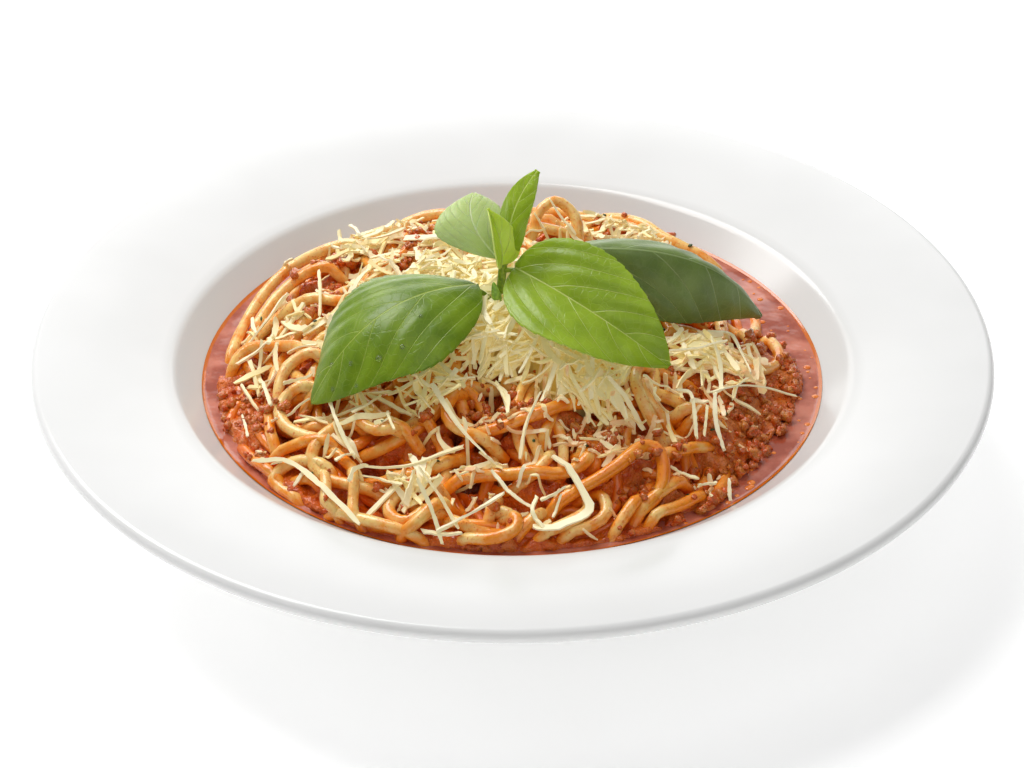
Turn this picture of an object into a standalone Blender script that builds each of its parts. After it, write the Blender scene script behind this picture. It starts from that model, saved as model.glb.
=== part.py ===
"""Spaghetti with meat and tomato sauce, grated cheese and a sprig of basil in a rimmed plate.

Metres, +Z up. The origin is the centre of the plate's foot ring, and the plate stands on z = 0.
The diner sits on the -Y side. Every piece is one closed solid, and 0.3 mm parts it from the next.
"""

import math

import bmesh
import bpy
from mathutils import Matrix, Vector

# ---- driving dimensions ------------------------------------------------------------------
GAP = 0.0003  # left between two pieces that touch
STEPS = 64  # facets round every turned piece

PLATE_RADIUS = 0.125
WELL_FLOOR_RADIUS = 0.054  # where the flat floor would meet the sloping wall
WELL_FLOOR_Z = 0.008
RIM_INNER_RADIUS = 0.0883  # where the wall would meet the rim
RIM_INNER_Z = 0.0352
RIM_OUTER_Z = 0.040
FOOT_OUTER_RADIUS = 0.051
FOOT_INNER_RADIUS = 0.045
PLATE_THICKNESS = 0.004

SAUCE_LEVEL = 0.0292
POOL_INNER_RADIUS = 0.062  # further in, noodles and meat sauce fill the well
HEAP_RADIUS = 0.0785  # the noodles' outline at the sauce's level
HEAP_HEIGHT = 0.0255  # of its crown above the sauce
HEAP_POWER = 2.2
HEAP_RINGS = 14
HEAP_CLEARANCE = 0.0004  # between the noodles and the plate's glaze

CHEESE_CENTRE = (0.001, -0.022)
CHEESE_HALF_SIZE = (0.025, 0.028)
CHEESE_THICKNESS = 0.0062
CHEESE_EDGE = 0.0012  # thickness of its ragged edge
CHEESE_SPOKES = 26

LEAF_THICKNESS = 0.0006
LEAF_TIP_HALF_WIDTH = 0.0006  # blunt ends, so that the two sides don't meet in a knife edge
BUD_FOOT = Vector((-0.0052, -0.0152, 0.0608))
BUD_TIP = Vector((-0.0062, -0.0158, 0.0672))
BUD_RADIUS = 0.0010
STEM_RADIUS = 0.00125
PETIOLE_RADIUS = 0.00075
STEM_FOOT = Vector((-0.0034, -0.0130, 0.0565))
STEM_TOP = Vector((-0.0023, -0.0126, 0.0704))
PETIOLE_NODE = Vector((-0.0030, -0.0130, 0.0615))  # where the lower pair of leaves leaves the stem

# Bays in the heap's outline, where the pool or the meat lies: bearing (degrees), half width, depth.
HEAP_BAYS = (
    (-14.0, 40.0, 0.0120),
    (22.0, 24.0, 0.0064),
    (168.0, 14.0, 0.0034),
    (188.0, 12.0, 0.0044),
    (96.0, 20.0, 0.0020),
)

# Nests of noodles: a ring-shaped ridge round a centre, as radius, width and height.
HEAP_SWIRLS = (
    ((-0.038, 0.016), 0.019, 0.0075, 0.0018),
    ((-0.040, -0.034), 0.015, 0.0065, 0.0016),
    ((-0.006, -0.058), 0.016, 0.0060, 0.0022),
    ((0.030, -0.040), 0.018, 0.0070, 0.0016),
    ((0.022, 0.034), 0.020, 0.0080, 0.0022),
    ((-0.018, 0.050), 0.014, 0.0065, 0.0020),
    ((0.052, 0.016), 0.014, 0.0060, 0.0010),
)

# Ladles of meat sauce that run together: centre, radius and height over the noodles.
MEAT_LADLES = (
    ((0.052, -0.013), 0.0170, 0.0046),
    ((0.061, -0.021), 0.0160, 0.0050),
    ((0.068, -0.004), 0.0135, 0.0056),
    ((0.054, -0.038), 0.0150, 0.0044),
)
MEAT_CENTRE = (0.059, -0.019)
MEAT_SHORE_RADIUS = 0.0732
MEAT_EDGE = 0.0012  # thickness where it gives way to bare noodles
MEAT_SPOKES = 34


# ---- scene helpers -----------------------------------------------------------------------
def clear_scene():
    for obj in list(bpy.data.objects):
        bpy.data.objects.remove(obj, do_unlink=True)


def new_collection(name):
    collection = bpy.data.collections.new(name)
    bpy.context.scene.collection.children.link(collection)
    return collection


def new_material(name, color, roughness, metallic=0.0):
    material = bpy.data.materials.new(name)
    material.use_nodes = True
    shader = material.node_tree.nodes["Principled BSDF"]
    shader.inputs["Base Color"].default_value = (*color, 1.0)
    shader.inputs["Roughness"].default_value = roughness
    shader.inputs["Metallic"].default_value = metallic
    return material


def new_object(name, mesh, collection, material=None):
    obj = bpy.data.objects.new(name, mesh)
    collection.objects.link(obj)
    if material is not None:
        mesh.materials.append(material)
    return obj


def mesh_from(build, name):
    """Runs build on a new bmesh and returns the mesh, with its faces turned outwards."""
    bm = bmesh.new()
    build(bm)
    bmesh.ops.recalc_face_normals(bm, faces=bm.faces)
    if bm.calc_volume(signed=True) < 0.0:
        bmesh.ops.reverse_faces(bm, faces=bm.faces)
    mesh = bpy.data.meshes.new(name)
    bm.to_mesh(mesh)
    bm.free()
    return mesh


def shade_smooth(obj, angle=math.radians(35.0)):
    obj.data.shade_smooth()
    obj.data.set_sharp_from_angle(angle=angle)


def mesh_of(obj):
    """The evaluated object's own mesh, welded, in world space."""
    bpy.context.view_layer.update()
    graph = bpy.context.evaluated_depsgraph_get()
    mesh = bpy.data.meshes.new_from_object(obj.evaluated_get(graph))
    mesh.transform(obj.matrix_world)
    bm = bmesh.new()
    bm.from_mesh(mesh)
    bmesh.ops.remove_doubles(bm, verts=bm.verts, dist=1e-6)
    bm.to_mesh(mesh)
    bm.free()
    return mesh


# ---- turned profiles ---------------------------------------------------------------------
def rounded(points, arc_step=math.radians(15.0)):
    """A polyline of (radius, z, fillet) corners with each fillet drawn as an arc."""
    path = []
    for index, (x, z, fillet) in enumerate(points):
        corner = Vector((x, z))
        if fillet == 0.0:
            path.append(corner)
            continue
        before = (Vector(points[index - 1][:2]) - corner).normalized()
        after = (Vector(points[index + 1][:2]) - corner).normalized()
        half = before.angle(after) / 2.0
        centre = corner + (before + after).normalized() * (fillet / math.sin(half))
        start = corner + before * (fillet / math.tan(half)) - centre
        turn = after.cross(before)
        sweep = math.copysign(math.pi - 2.0 * half, turn)
        count = max(2, math.ceil(abs(sweep) / arc_step))
        for step in range(count + 1):
            path.append(centre + Matrix.Rotation(sweep * step / count, 2) @ start)
    return path


def turned(name, profile, closed, collection, material):
    """Turns a profile of (radius, z) points round Z. A closed profile makes a ring section."""
    mesh = bpy.data.meshes.new(name)
    verts = [(point.x, 0.0, point.y) for point in profile]
    edges = [(i, i + 1) for i in range(len(verts) - 1)]
    if closed:
        edges.append((len(verts) - 1, 0))
    mesh.from_pydata(verts, edges, [])
    obj = new_object(name, mesh, collection, material)
    screw = obj.modifiers.new("turn", "SCREW")
    screw.angle = math.tau
    screw.steps = screw.render_steps = STEPS
    screw.use_merge_vertices = True
    screw.merge_threshold = 1e-5
    screw.use_smooth_shade = True
    return obj


# ---- the plate ---------------------------------------------------------------------------
WELL_SLOPE = (RIM_INNER_Z - WELL_FLOOR_Z) / (RIM_INNER_RADIUS - WELL_FLOOR_RADIUS)
WELL_FILLET = 0.024
RIM_FILLET = 0.005


def well_corners():
    """The plate's upper side from its centre to the rim, as (radius, z, fillet)."""
    return [
        (0.0, WELL_FLOOR_Z, 0.0),
        (WELL_FLOOR_RADIUS, WELL_FLOOR_Z, WELL_FILLET),
        (RIM_INNER_RADIUS, RIM_INNER_Z, RIM_FILLET),
        (PLATE_RADIUS - PLATE_THICKNESS / 2.0, RIM_OUTER_Z, 0.0),
    ]


def well_height(radius):
    """Height of the well's glaze at a radius, read off the rounded profile."""
    path = rounded(well_corners(), math.radians(5.0))
    for near, far in zip(path, path[1:]):
        if near.x <= radius <= far.x and far.x > near.x:
            share = (radius - near.x) / (far.x - near.x)
            return near.y + share * (far.y - near.y)
    return path[-1].y


def plate_profile():
    """The plate's section from the centre of its well, round the lip, to its underside."""
    lip_radius = PLATE_THICKNESS / 2.0
    lip_centre = Vector((PLATE_RADIUS - lip_radius, RIM_OUTER_Z - lip_radius))
    upper = rounded(well_corners())
    lip = []
    for step in range(1, 6):
        turn = math.pi / 2.0 - math.pi * step / 6.0
        lip.append(lip_centre + lip_radius * Vector((math.cos(turn), math.sin(turn))))
    under = rounded(
        [
            (lip_centre.x, RIM_OUTER_Z - PLATE_THICKNESS, 0.0),
            (RIM_INNER_RADIUS + 0.0018, RIM_INNER_Z - 0.0038, 0.008),
            (FOOT_OUTER_RADIUS + 0.0055, 0.0050, 0.0030),
            (FOOT_OUTER_RADIUS + 0.0012, 0.0032, 0.0),
            (FOOT_OUTER_RADIUS, 0.0, 0.0),
            (FOOT_INNER_RADIUS, 0.0, 0.0),
            (FOOT_INNER_RADIUS - 0.0014, 0.0032, 0.0),
            (0.0, 0.0034, 0.0),
        ]
    )
    return upper + lip + under


def build_plate(collection):
    porcelain = new_material("porcelain", (0.86, 0.86, 0.85), 0.12)
    return turned("plate", plate_profile(), False, collection, porcelain)


# ---- the heap of noodles -----------------------------------------------------------------
def bump(distance, half_width):
    """1 at the middle, smoothly 0 from half_width outwards."""
    share = min(abs(distance) / half_width, 1.0)
    return (1.0 - share * share) ** 2


def heap_outline(bearing):
    """Radius of the noodles' edge at the sauce's level."""
    radius = HEAP_RADIUS + 0.0004 * math.sin(11.0 * bearing) + 0.0003 * math.sin(17.0 * bearing + 1.0)
    for middle, half_width, depth in HEAP_BAYS:
        off = (math.degrees(bearing) - middle + 180.0) % 360.0 - 180.0
        radius -= depth * bump(off, half_width)
    return radius


def heap_height(x, y):
    """Height of the noodles' upper side: a dome with nests of noodles wound into it."""
    radius = math.hypot(x, y)
    share = min(radius / heap_outline(math.atan2(y, x)), 1.0)
    height = SAUCE_LEVEL + HEAP_HEIGHT * (1.0 - share**HEAP_POWER)
    fade = 1.0 - share**6
    for (cx, cy), ring_radius, ring_width, ridge in HEAP_SWIRLS:
        off = math.hypot(x - cx, y - cy)
        height += fade * ridge * bump(off - ring_radius, ring_width)
        height -= fade * 0.6 * ridge * bump(off, ring_radius - 0.5 * ring_width)
    return height


def glaze_clearance(x, y):
    """The lowest that food may lie over the plate's glaze."""
    return well_height(math.hypot(x, y)) + HEAP_CLEARANCE


# ---- mounds: rings of vertices round a centre ------------------------------------------------
def edge_between(near, far):
    return next(edge for edge in near.link_edges if edge.other_vert(near) is far)


def ring_edges(ring):
    return [edge_between(near, far) for near, far in zip(ring, ring[1:] + ring[:1])]


def close_with_point(bm, ring, point):
    """Fans a ring of vertices to one point."""
    tip = bm.verts.new(point)
    for near, far in zip(ring, ring[1:] + ring[:1]):
        bm.faces.new((near, far, tip))


def mound(name, centre, outline, top_at, under_at, spokes, rings, under_shares):
    """A closed mesh between two heights inside an outline: a loft of rings from crown to underside.

    outline gives the edge's distance from the centre at a bearing, top_at and under_at the heights
    at a place, and under_shares the rings of the underside as shares of that distance.
    """

    def add_ring(bm, share, height_at):
        ring = []
        for spoke in range(spokes):
            bearing = math.tau * spoke / spokes
            reach = share * outline(bearing)
            x, y = centre[0] + reach * math.cos(bearing), centre[1] + reach * math.sin(bearing)
            ring.append(bm.verts.new((x, y, height_at(x, y))))
        for near, far in zip(ring, ring[1:] + ring[:1]):
            bm.edges.new((near, far))
        return ring

    def build(bm):
        loops = [add_ring(bm, index / rings, top_at) for index in range(1, rings + 1)]
        loops += [add_ring(bm, share, under_at) for share in under_shares]
        for near, far in zip(loops, loops[1:]):
            bmesh.ops.bridge_loops(bm, edges=ring_edges(near) + ring_edges(far))
        close_with_point(bm, loops[0], (*centre, top_at(*centre)))
        close_with_point(bm, loops[-1], (*centre, under_at(*centre)))
        bmesh.ops.triangulate(bm, faces=bm.faces)  # so that a grown copy has the same facets

    return mesh_from(build, name)


def footprint(name, centre, outline, spokes, cutters):
    """A hidden upright block over an outline, wider by the gap, that keeps the pool off a mound."""

    def wider(bearing):
        return outline(bearing) + GAP

    mesh = mound(
        name, centre, wider, lambda x, y: SAUCE_LEVEL + 0.01, lambda x, y: 0.0, spokes, 1, (1.0,)
    )
    return hide(new_object(name, mesh, cutters))


# ---- cutting one piece by its neighbour ----------------------------------------------------
def hide(cutter):
    cutter.hide_render = True
    cutter.display_type = "WIRE"
    return cutter


def grown_cutter(obj, cutters):
    """A hidden copy of a piece, larger all round by the gap."""
    mesh = mesh_of(obj)
    bm = bmesh.new()
    bm.from_mesh(mesh)
    bm.normal_update()
    shifted = [vert.co + vert.normal * GAP * vert.calc_shell_factor() for vert in bm.verts]
    for vert, place in zip(bm.verts, shifted):
        vert.co = place
    bm.to_mesh(mesh)
    bm.free()
    return hide(new_object(obj.name + "_clearance", mesh, cutters))


def cut(obj, cutter):
    boolean = obj.modifiers.new("clear of " + cutter.name, "BOOLEAN")
    boolean.operation = "DIFFERENCE"
    boolean.object = cutter


# ---- noodles, meat sauce, cheese and pool ----------------------------------------------------
def build_heap(collection):
    """The noodles, from the crown down to the plate's glaze."""
    pasta = new_material("sauced_spaghetti", (0.80, 0.42, 0.14), 0.35)
    under_shares = (1.0, 0.92, 0.85, 0.78, 0.70, 0.6, 0.3)
    mesh = mound(
        "spaghetti", (0.0, 0.0), heap_outline, heap_height, glaze_clearance, STEPS, HEAP_RINGS, under_shares
    )
    heap = new_object("spaghetti", mesh, collection, pasta)
    shade_smooth(heap)
    return heap


def meat_thickness(x, y):
    """Thickness of the meat sauce over the noodles, as the sum of its ladles."""
    total = 0.0
    for (cx, cy), radius, height in MEAT_LADLES:
        total += height * bump(math.hypot(x - cx, y - cy), radius)
    lumps = 0.0008 * math.sin(x * 640.0 + 1.3) * math.sin(y * 590.0)
    return min(total, 0.0065) + lumps * min(total / 0.003, 1.0)


def meat_shore(bearing):
    """Radius where the meat sauce ends in the pool, at a bearing round the plate."""
    return MEAT_SHORE_RADIUS + 0.0036 * bump(math.degrees(bearing) + 3.0, 13.0)


def meat_outline(bearing):
    """How far from its centre the meat sauce is thick enough to see, short of the pool."""
    reach = 0.004
    while reach < 0.034:
        x = MEAT_CENTRE[0] + reach * math.cos(bearing)
        y = MEAT_CENTRE[1] + reach * math.sin(bearing)
        if meat_thickness(x, y) < MEAT_EDGE or math.hypot(x, y) > meat_shore(math.atan2(y, x)):
            break
        reach += 0.00025
    return reach


def build_meat(collection, heap_cutter):
    """The bank of meat sauce on the heap's right flank, down to the pool and the plate."""
    sauce = new_material("meat_sauce", (0.45, 0.10, 0.03), 0.30)

    def top_at(x, y):
        return heap_height(x, y) + max(meat_thickness(x, y), MEAT_EDGE)

    def under_at(x, y):
        return heap_height(x, y) - 0.004 if inside_heap(x, y) else glaze_clearance(x, y) + GAP

    mesh = mound("meat_sauce", MEAT_CENTRE, meat_outline, top_at, under_at, MEAT_SPOKES, 5, (1.0, 0.8, 0.5))
    meat = new_object("meat_sauce", mesh, collection, sauce)
    shade_smooth(meat)
    cut(meat, heap_cutter)
    return meat


def inside_heap(x, y):
    """Whether a place lies well within the noodles' outline."""
    return math.hypot(x, y) < heap_outline(math.atan2(y, x)) - 0.004


def cheese_outline(bearing):
    """The cheese mound's ragged oval edge."""
    half_x, half_y = CHEESE_HALF_SIZE
    ragged = 1.0 + 0.07 * math.sin(5.0 * bearing + 0.6) + 0.05 * math.sin(9.0 * bearing)
    return ragged * half_x * half_y / math.hypot(half_y * math.cos(bearing), half_x * math.sin(bearing))


def build_cheese(collection, heap_cutter, stem_cutter):
    """The mound of grated cheese on the crown, which the basil's stem stands in."""
    cheese = new_material("grated_cheese", (0.93, 0.86, 0.55), 0.45)

    def top_at(x, y):
        dx, dy = x - CHEESE_CENTRE[0], y - CHEESE_CENTRE[1]
        share = min(math.hypot(dx, dy) / cheese_outline(math.atan2(dy, dx)), 1.0)
        tufts = 0.0007 * math.sin(x * 780.0) * math.sin(y * 700.0 + 0.8)
        return heap_height(x, y) + CHEESE_EDGE + (CHEESE_THICKNESS - CHEESE_EDGE) * (1.0 - share**2) + tufts

    def under_at(x, y):
        return heap_height(x, y) - 0.004

    mesh = mound("grated_cheese", CHEESE_CENTRE, cheese_outline, top_at, under_at, CHEESE_SPOKES, 5, (1.0, 0.6))
    pile = new_object("grated_cheese", mesh, collection, cheese)
    shade_smooth(pile)
    cut(pile, heap_cutter)
    cut(pile, stem_cutter)
    return pile


def build_pool(collection, footprints):
    """The thin sauce that fills the well up to its level round the noodles and meat."""
    sauce = new_material("tomato_sauce", (0.62, 0.09, 0.02), 0.10)
    edge_radius = WELL_FLOOR_RADIUS + (SAUCE_LEVEL - WELL_FLOOR_Z) / WELL_SLOPE - GAP * 1.35
    radii = [edge_radius - (edge_radius - POOL_INNER_RADIUS) * step / 5.0 for step in range(1, 6)]
    wall = [Vector((radius, well_height(radius) + GAP)) for radius in radii]
    section = [Vector((POOL_INNER_RADIUS, SAUCE_LEVEL)), Vector((edge_radius, SAUCE_LEVEL))] + wall
    pool = turned("sauce", section, True, collection, sauce)
    for block in footprints:
        cut(pool, block)
    return pool


# ---- the basil -----------------------------------------------------------------------------
LEAVES = {
    # name: base, tip, half width, arch, roll, fold, cup, widest share, tip sharpness, sway, colour
    "basil_leaf_left": (
        (-0.0077, -0.0131, 0.0650), (-0.0506, -0.0350, 0.0435),
        0.0199, 0.0120, -5.0, 7.0, 22.5, 0.39, 0.74, 0.0015, (0.08, 0.21, 0.03),
    ),
    "basil_leaf_right": (
        (0.0113, -0.0015, 0.0680), (0.0659, 0.0108, 0.0400),
        0.0189, 0.0140, 28.9, 35.9, 28.2, 0.47, 1.0, 0.0, (0.05, 0.13, 0.05),
    ),
    "basil_leaf_front": (
        (0.0006, -0.0146, 0.0710), (0.0392, -0.0366, 0.0555),
        0.0154, 0.0047, 22.6, -9.8, -2.5, 0.36, 0.9, -0.0012, (0.15, 0.33, 0.02),
    ),
    "basil_leaf_back": (
        (-0.0036, -0.0108, 0.0712), (-0.0096, 0.0041, 0.0816),
        0.0099, 0.0035, 3.6, 0.0, 23.0, 0.51, 0.68, 0.0047, (0.30, 0.45, 0.15),
    ),
    "basil_leaf_top": (
        (-0.0005, -0.0126, 0.0722), (0.0064, -0.0069, 0.0946),
        0.0050, 0.0038, 5.5, -0.8, 22.0, 0.47, 0.83, 0.0003, (0.17, 0.36, 0.04),
    ),
    "basil_leaf_small": (
        (-0.0030, -0.0142, 0.0725), (-0.0062, -0.0110, 0.0859),
        0.0032, 0.0030, -9.5, 18.0, 20.0, 0.40, 0.96, 0.0005, (0.24, 0.42, 0.05),
    ),
}


def leaf_point(along, across, size):
    """A place on a leaf: along 0 to 1 from base to tip, across -1 to 1 from edge to edge."""
    base, tip, half_width, arch, roll, fold, cup, widest, sharp, sway, _color = size
    base, tip = Vector(base), Vector(tip)
    axis = (tip - base).normalized()
    level = Vector((0.0, 0.0, 1.0)).cross(axis).normalized()
    upward = axis.cross(level)
    if upward.z < 0.0:
        upward = -upward
    turn = math.radians(roll)
    side = math.cos(turn) * level + math.sin(turn) * upward
    normal = -math.sin(turn) * level + math.cos(turn) * upward
    bow = 4.0 * along * (1.0 - along)
    spine = base.lerp(tip, along) + normal * (arch * bow) + side * (sway * bow)
    tangent = ((tip - base) + normal * (arch * 4.0 * (1.0 - 2.0 * along))).normalized()
    normal = (normal - tangent * normal.dot(tangent)).normalized()
    rise = sharp * widest / (1.0 - widest)
    peak = widest**rise * (1.0 - widest) ** sharp
    width = max(half_width * along**rise * (1.0 - along) ** sharp / peak, LEAF_TIP_HALF_WIDTH)
    out, drop = 0.0, 0.0
    pieces = 6
    for piece in range(pieces):
        angle = math.radians(fold + cup * (piece + 0.5) / pieces * abs(across))
        out += math.cos(angle) * abs(across) * width / pieces
        drop += math.sin(angle) * abs(across) * width / pieces
    return spine + side * math.copysign(out, across) - normal * drop


def build_leaf(name, size, collection):
    """A leaf blade: a flat grid bent to the leaf's form, then given its thickness."""
    length = (Vector(size[1]) - Vector(size[0])).length
    along_count, across_count = (12, 6) if length > 0.03 else (7, 4)

    def build(bm):
        bmesh.ops.create_grid(bm, x_segments=along_count, y_segments=across_count, size=1.0)
        for vert in bm.verts:
            vert.co = leaf_point((vert.co.x + 1.0) / 2.0, vert.co.y, size)

    leaf = new_object(name, mesh_from(build, name), collection, new_material(name, size[-1], 0.4))
    solidify = leaf.modifiers.new("thickness", "SOLIDIFY")
    solidify.thickness = LEAF_THICKNESS
    solidify.offset = 0.0
    shade_smooth(leaf)
    return leaf


def build_bud(collection):
    """The closed bud beside the stem: a slim egg."""

    def build(bm):
        bmesh.ops.create_uvsphere(bm, u_segments=10, v_segments=7, radius=1.0)
        axis = BUD_TIP - BUD_FOOT
        size = Matrix.Diagonal((BUD_RADIUS, BUD_RADIUS, axis.length / 2.0, 1.0))
        turn = axis.to_track_quat("Z", "Y").to_matrix().to_4x4()
        bm.transform(Matrix.Translation((BUD_FOOT + BUD_TIP) / 2.0) @ turn @ size)

    bud = new_object("basil_bud", mesh_from(build, "basil_bud"), collection)
    bud.data.materials.append(new_material("basil_bud", (0.06, 0.18, 0.03), 0.4))
    shade_smooth(bud)


def tube(name, points, radius, collection):
    """A round tube along a few points, as a closed mesh."""
    curve = bpy.data.curves.new(name, "CURVE")
    curve.dimensions = "3D"
    curve.bevel_depth = radius
    curve.bevel_resolution = 1
    curve.use_fill_caps = True
    spline = curve.splines.new("POLY")
    spline.points.add(len(points) - 1)
    for place, point in zip(points, spline.points):
        point.co = (*place, 1.0)
    rod = bpy.data.objects.new(name + "_curve", curve)
    collection.objects.link(rod)
    solid = new_object(name, mesh_of(rod), collection)
    bpy.data.objects.remove(rod, do_unlink=True)
    return solid


def petiole(name, end, sag, collection):
    """A leaf's stalk: an arc from inside the stem to just short of the leaf's base."""
    middle = PETIOLE_NODE.lerp(end, 0.5) + Vector((0.0, 0.0, sag))
    steps = 6
    points = []
    for step in range(steps + 1):
        share = step / steps
        lower = PETIOLE_NODE.lerp(middle, share)
        points.append(lower.lerp(middle.lerp(end, share), share))
    return hide(tube(name, points, PETIOLE_RADIUS, collection))


def stalk_end(leaf_name, short_of=0.0009):
    """The point just short of a leaf's base, on the leaf's own axis."""
    base, tip = Vector(LEAVES[leaf_name][0]), Vector(LEAVES[leaf_name][1])
    return base - (tip - base).normalized() * short_of


def build_stem(collection, cutters):
    """The sprig's stem with the stalks of its lower pair of leaves."""
    stem = tube("basil_stem", (STEM_FOOT, PETIOLE_NODE, STEM_TOP), STEM_RADIUS, collection)
    stem.data.materials.append(new_material("basil_stem", (0.16, 0.28, 0.05), 0.4))
    for side, sag in (("left", 0.0012), ("right", 0.0010)):
        stalk = petiole("stalk_" + side, stalk_end("basil_leaf_" + side), sag, cutters)
        join = stem.modifiers.new("stalk " + side, "BOOLEAN")
        join.operation = "UNION"
        join.object = stalk
    return stem


# ---- the whole dish ------------------------------------------------------------------------
def main():
    clear_scene()
    dish = new_collection("spaghetti_with_meat_sauce")
    cutters = new_collection("clearances")
    build_plate(dish)
    heap_cutter = grown_cutter(build_heap(dish), cutters)
    stem = build_stem(dish, cutters)
    build_meat(dish, heap_cutter)
    build_cheese(dish, heap_cutter, grown_cutter(stem, cutters))
    heap_block = footprint("heap_footprint", (0.0, 0.0), heap_outline, STEPS, cutters)
    meat_block = footprint("meat_footprint", MEAT_CENTRE, meat_outline, MEAT_SPOKES, cutters)
    build_pool(dish, (heap_block, meat_block))
    for name, size in LEAVES.items():
        build_leaf(name, size, dish)
    build_bud(dish)


main()
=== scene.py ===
"""Spaghetti with meat and tomato sauce, grated cheese and a sprig of basil in a rimmed plate.

The CAD frame gives every solid its place. The noodles, crumbs of meat, shreds of cheese and leaves
are laid over it here at their true size. Routes and heights are worked out in millimetres on a
relief of the plate, and the meshes are in metres.
"""

import logging
import math
from collections.abc import Callable, Iterable, Sequence
from dataclasses import dataclass, field
from enum import Enum

import bmesh
import bpy
import numpy as np
from mathutils import Matrix, Vector
from mathutils.bvhtree import BVHTree


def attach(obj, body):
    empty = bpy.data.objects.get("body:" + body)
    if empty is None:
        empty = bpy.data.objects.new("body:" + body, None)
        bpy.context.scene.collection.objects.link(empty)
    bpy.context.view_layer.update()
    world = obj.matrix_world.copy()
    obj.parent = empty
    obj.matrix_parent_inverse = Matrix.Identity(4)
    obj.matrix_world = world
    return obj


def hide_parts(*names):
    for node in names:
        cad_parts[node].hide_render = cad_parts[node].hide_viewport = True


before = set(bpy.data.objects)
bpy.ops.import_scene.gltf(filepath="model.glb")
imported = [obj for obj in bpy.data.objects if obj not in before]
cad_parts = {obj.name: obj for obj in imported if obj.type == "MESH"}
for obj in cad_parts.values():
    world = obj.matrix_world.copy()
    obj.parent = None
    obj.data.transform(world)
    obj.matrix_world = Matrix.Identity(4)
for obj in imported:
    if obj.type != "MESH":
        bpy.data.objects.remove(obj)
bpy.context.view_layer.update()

MM = 0.001
BODY = "root"
log = logging.getLogger("spaghetti")


# ---- helpers
def linear(colour: str) -> tuple[float, float, float, float]:
    """Turns an sRGB hex colour to linear.

    Args:
        colour: six hex digits, with or without a leading "#".

    Returns:
        Red, green, blue and alpha for a shader's socket.
    """
    parts = [int(colour.lstrip("#")[i : i + 2], 16) / 255.0 for i in (0, 2, 4)]
    red, green, blue = (c / 12.92 if c <= 0.04045 else ((c + 0.055) / 1.055) ** 2.4 for c in parts)
    return red, green, blue, 1.0


def smoothstep(low: float, high: float, value: np.ndarray) -> np.ndarray:
    """0 below low, 1 above high and a smooth rise between them."""
    share = np.clip((np.asarray(value, float) - low) / (high - low), 0.0, 1.0)
    return share * share * (3.0 - 2.0 * share)


def softened(values: np.ndarray, sigma: float) -> np.ndarray:
    """Runs a Gaussian along a line of samples, with its ends held.

    Args:
        values: one row for each sample.
        sigma: width of the Gaussian in samples.

    Returns:
        The samples, smoothed.
    """
    reach = max(1, int(math.ceil(3.0 * sigma)))
    kernel = np.exp(-0.5 * (np.arange(-reach, reach + 1) / sigma) ** 2)
    kernel /= kernel.sum()
    rows = values.reshape(len(values), -1)
    padded = np.concatenate([np.repeat(rows[:1], reach, 0), rows, np.repeat(rows[-1:], reach, 0)])
    columns = [np.convolve(column, kernel, mode="valid") for column in padded.T]
    return np.stack(columns, 1).reshape(values.shape)


def table(kind: type, rows: Sequence[tuple]) -> tuple:
    """Fills a class's fields from each row."""
    return tuple(kind(*row) for row in rows)


def polar(radius: np.ndarray | float, bearing: np.ndarray) -> np.ndarray:
    """x and y at a radius and a bearing in radians, in the last axis."""
    return np.stack([radius * np.cos(bearing), radius * np.sin(bearing)], -1)


def directions(line: np.ndarray) -> np.ndarray:
    """Unit vectors along a line of samples."""
    along = np.gradient(line, axis=0)
    return along / np.linalg.norm(along, axis=1, keepdims=True)


def spline_through(points: Sequence[Sequence[float]], step: float) -> np.ndarray:
    """Draws a smooth line through control points.

    Args:
        points: control points of any number of coordinates, the first two of them x and y in mm.
        step: distance between the samples in mm.

    Returns:
        Samples with the same coordinates, evenly spaced in x and y.
    """
    p = np.array(points, float)
    p = np.concatenate([2.0 * p[:1] - p[1:2], p, 2.0 * p[-1:] - p[-2:-1]])
    t = np.linspace(0.0, 1.0, 24, endpoint=False)[:, None]
    parts = []
    for a, b, c, d in zip(p, p[1:], p[2:], p[3:]):
        curve = 2.0 * b + (c - a) * t + (2.0 * a - 5.0 * b + 4.0 * c - d) * t**2
        parts.append(0.5 * (curve + (3.0 * b - a - 3.0 * c + d) * t**3))
    line = np.concatenate([*parts, p[-2:-1]])
    run = np.concatenate([[0.0], np.cumsum(np.linalg.norm(np.diff(line[:, :2], axis=0), axis=1))])
    at = np.linspace(0.0, run[-1], max(3, int(run[-1] / step) + 1))
    return np.stack([np.interp(at, run, column) for column in line.T], 1)


def mesh_from(bm: bmesh.types.BMesh, name: str, outwards: bool = True) -> bpy.types.Mesh:
    """Turns a bmesh to a mesh and frees it.

    Args:
        bm: the shape.
        name: the mesh's name.
        outwards: True to turn the faces outwards.

    Returns:
        The mesh.
    """
    if outwards:
        bmesh.ops.recalc_face_normals(bm, faces=bm.faces)
        if bm.calc_volume(signed=True) < 0.0:
            bmesh.ops.reverse_faces(bm, faces=bm.faces)
    mesh = bpy.data.meshes.new(name)
    bm.to_mesh(mesh)
    bm.free()
    return mesh


def add_attribute(mesh: bpy.types.Mesh, name: str, values: np.ndarray) -> None:
    """Stores a number, or a vector, for each vertex, for a material to read.

    Args:
        mesh: the mesh.
        name: the attribute's name.
        values: a row for each vertex.
    """
    values = np.asarray(values, np.float32)
    kind, key = ("FLOAT", "value") if values.ndim == 1 else ("FLOAT_VECTOR", "vector")
    mesh.attributes.new(name, kind, "POINT").data.foreach_set(key, values.ravel())


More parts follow.
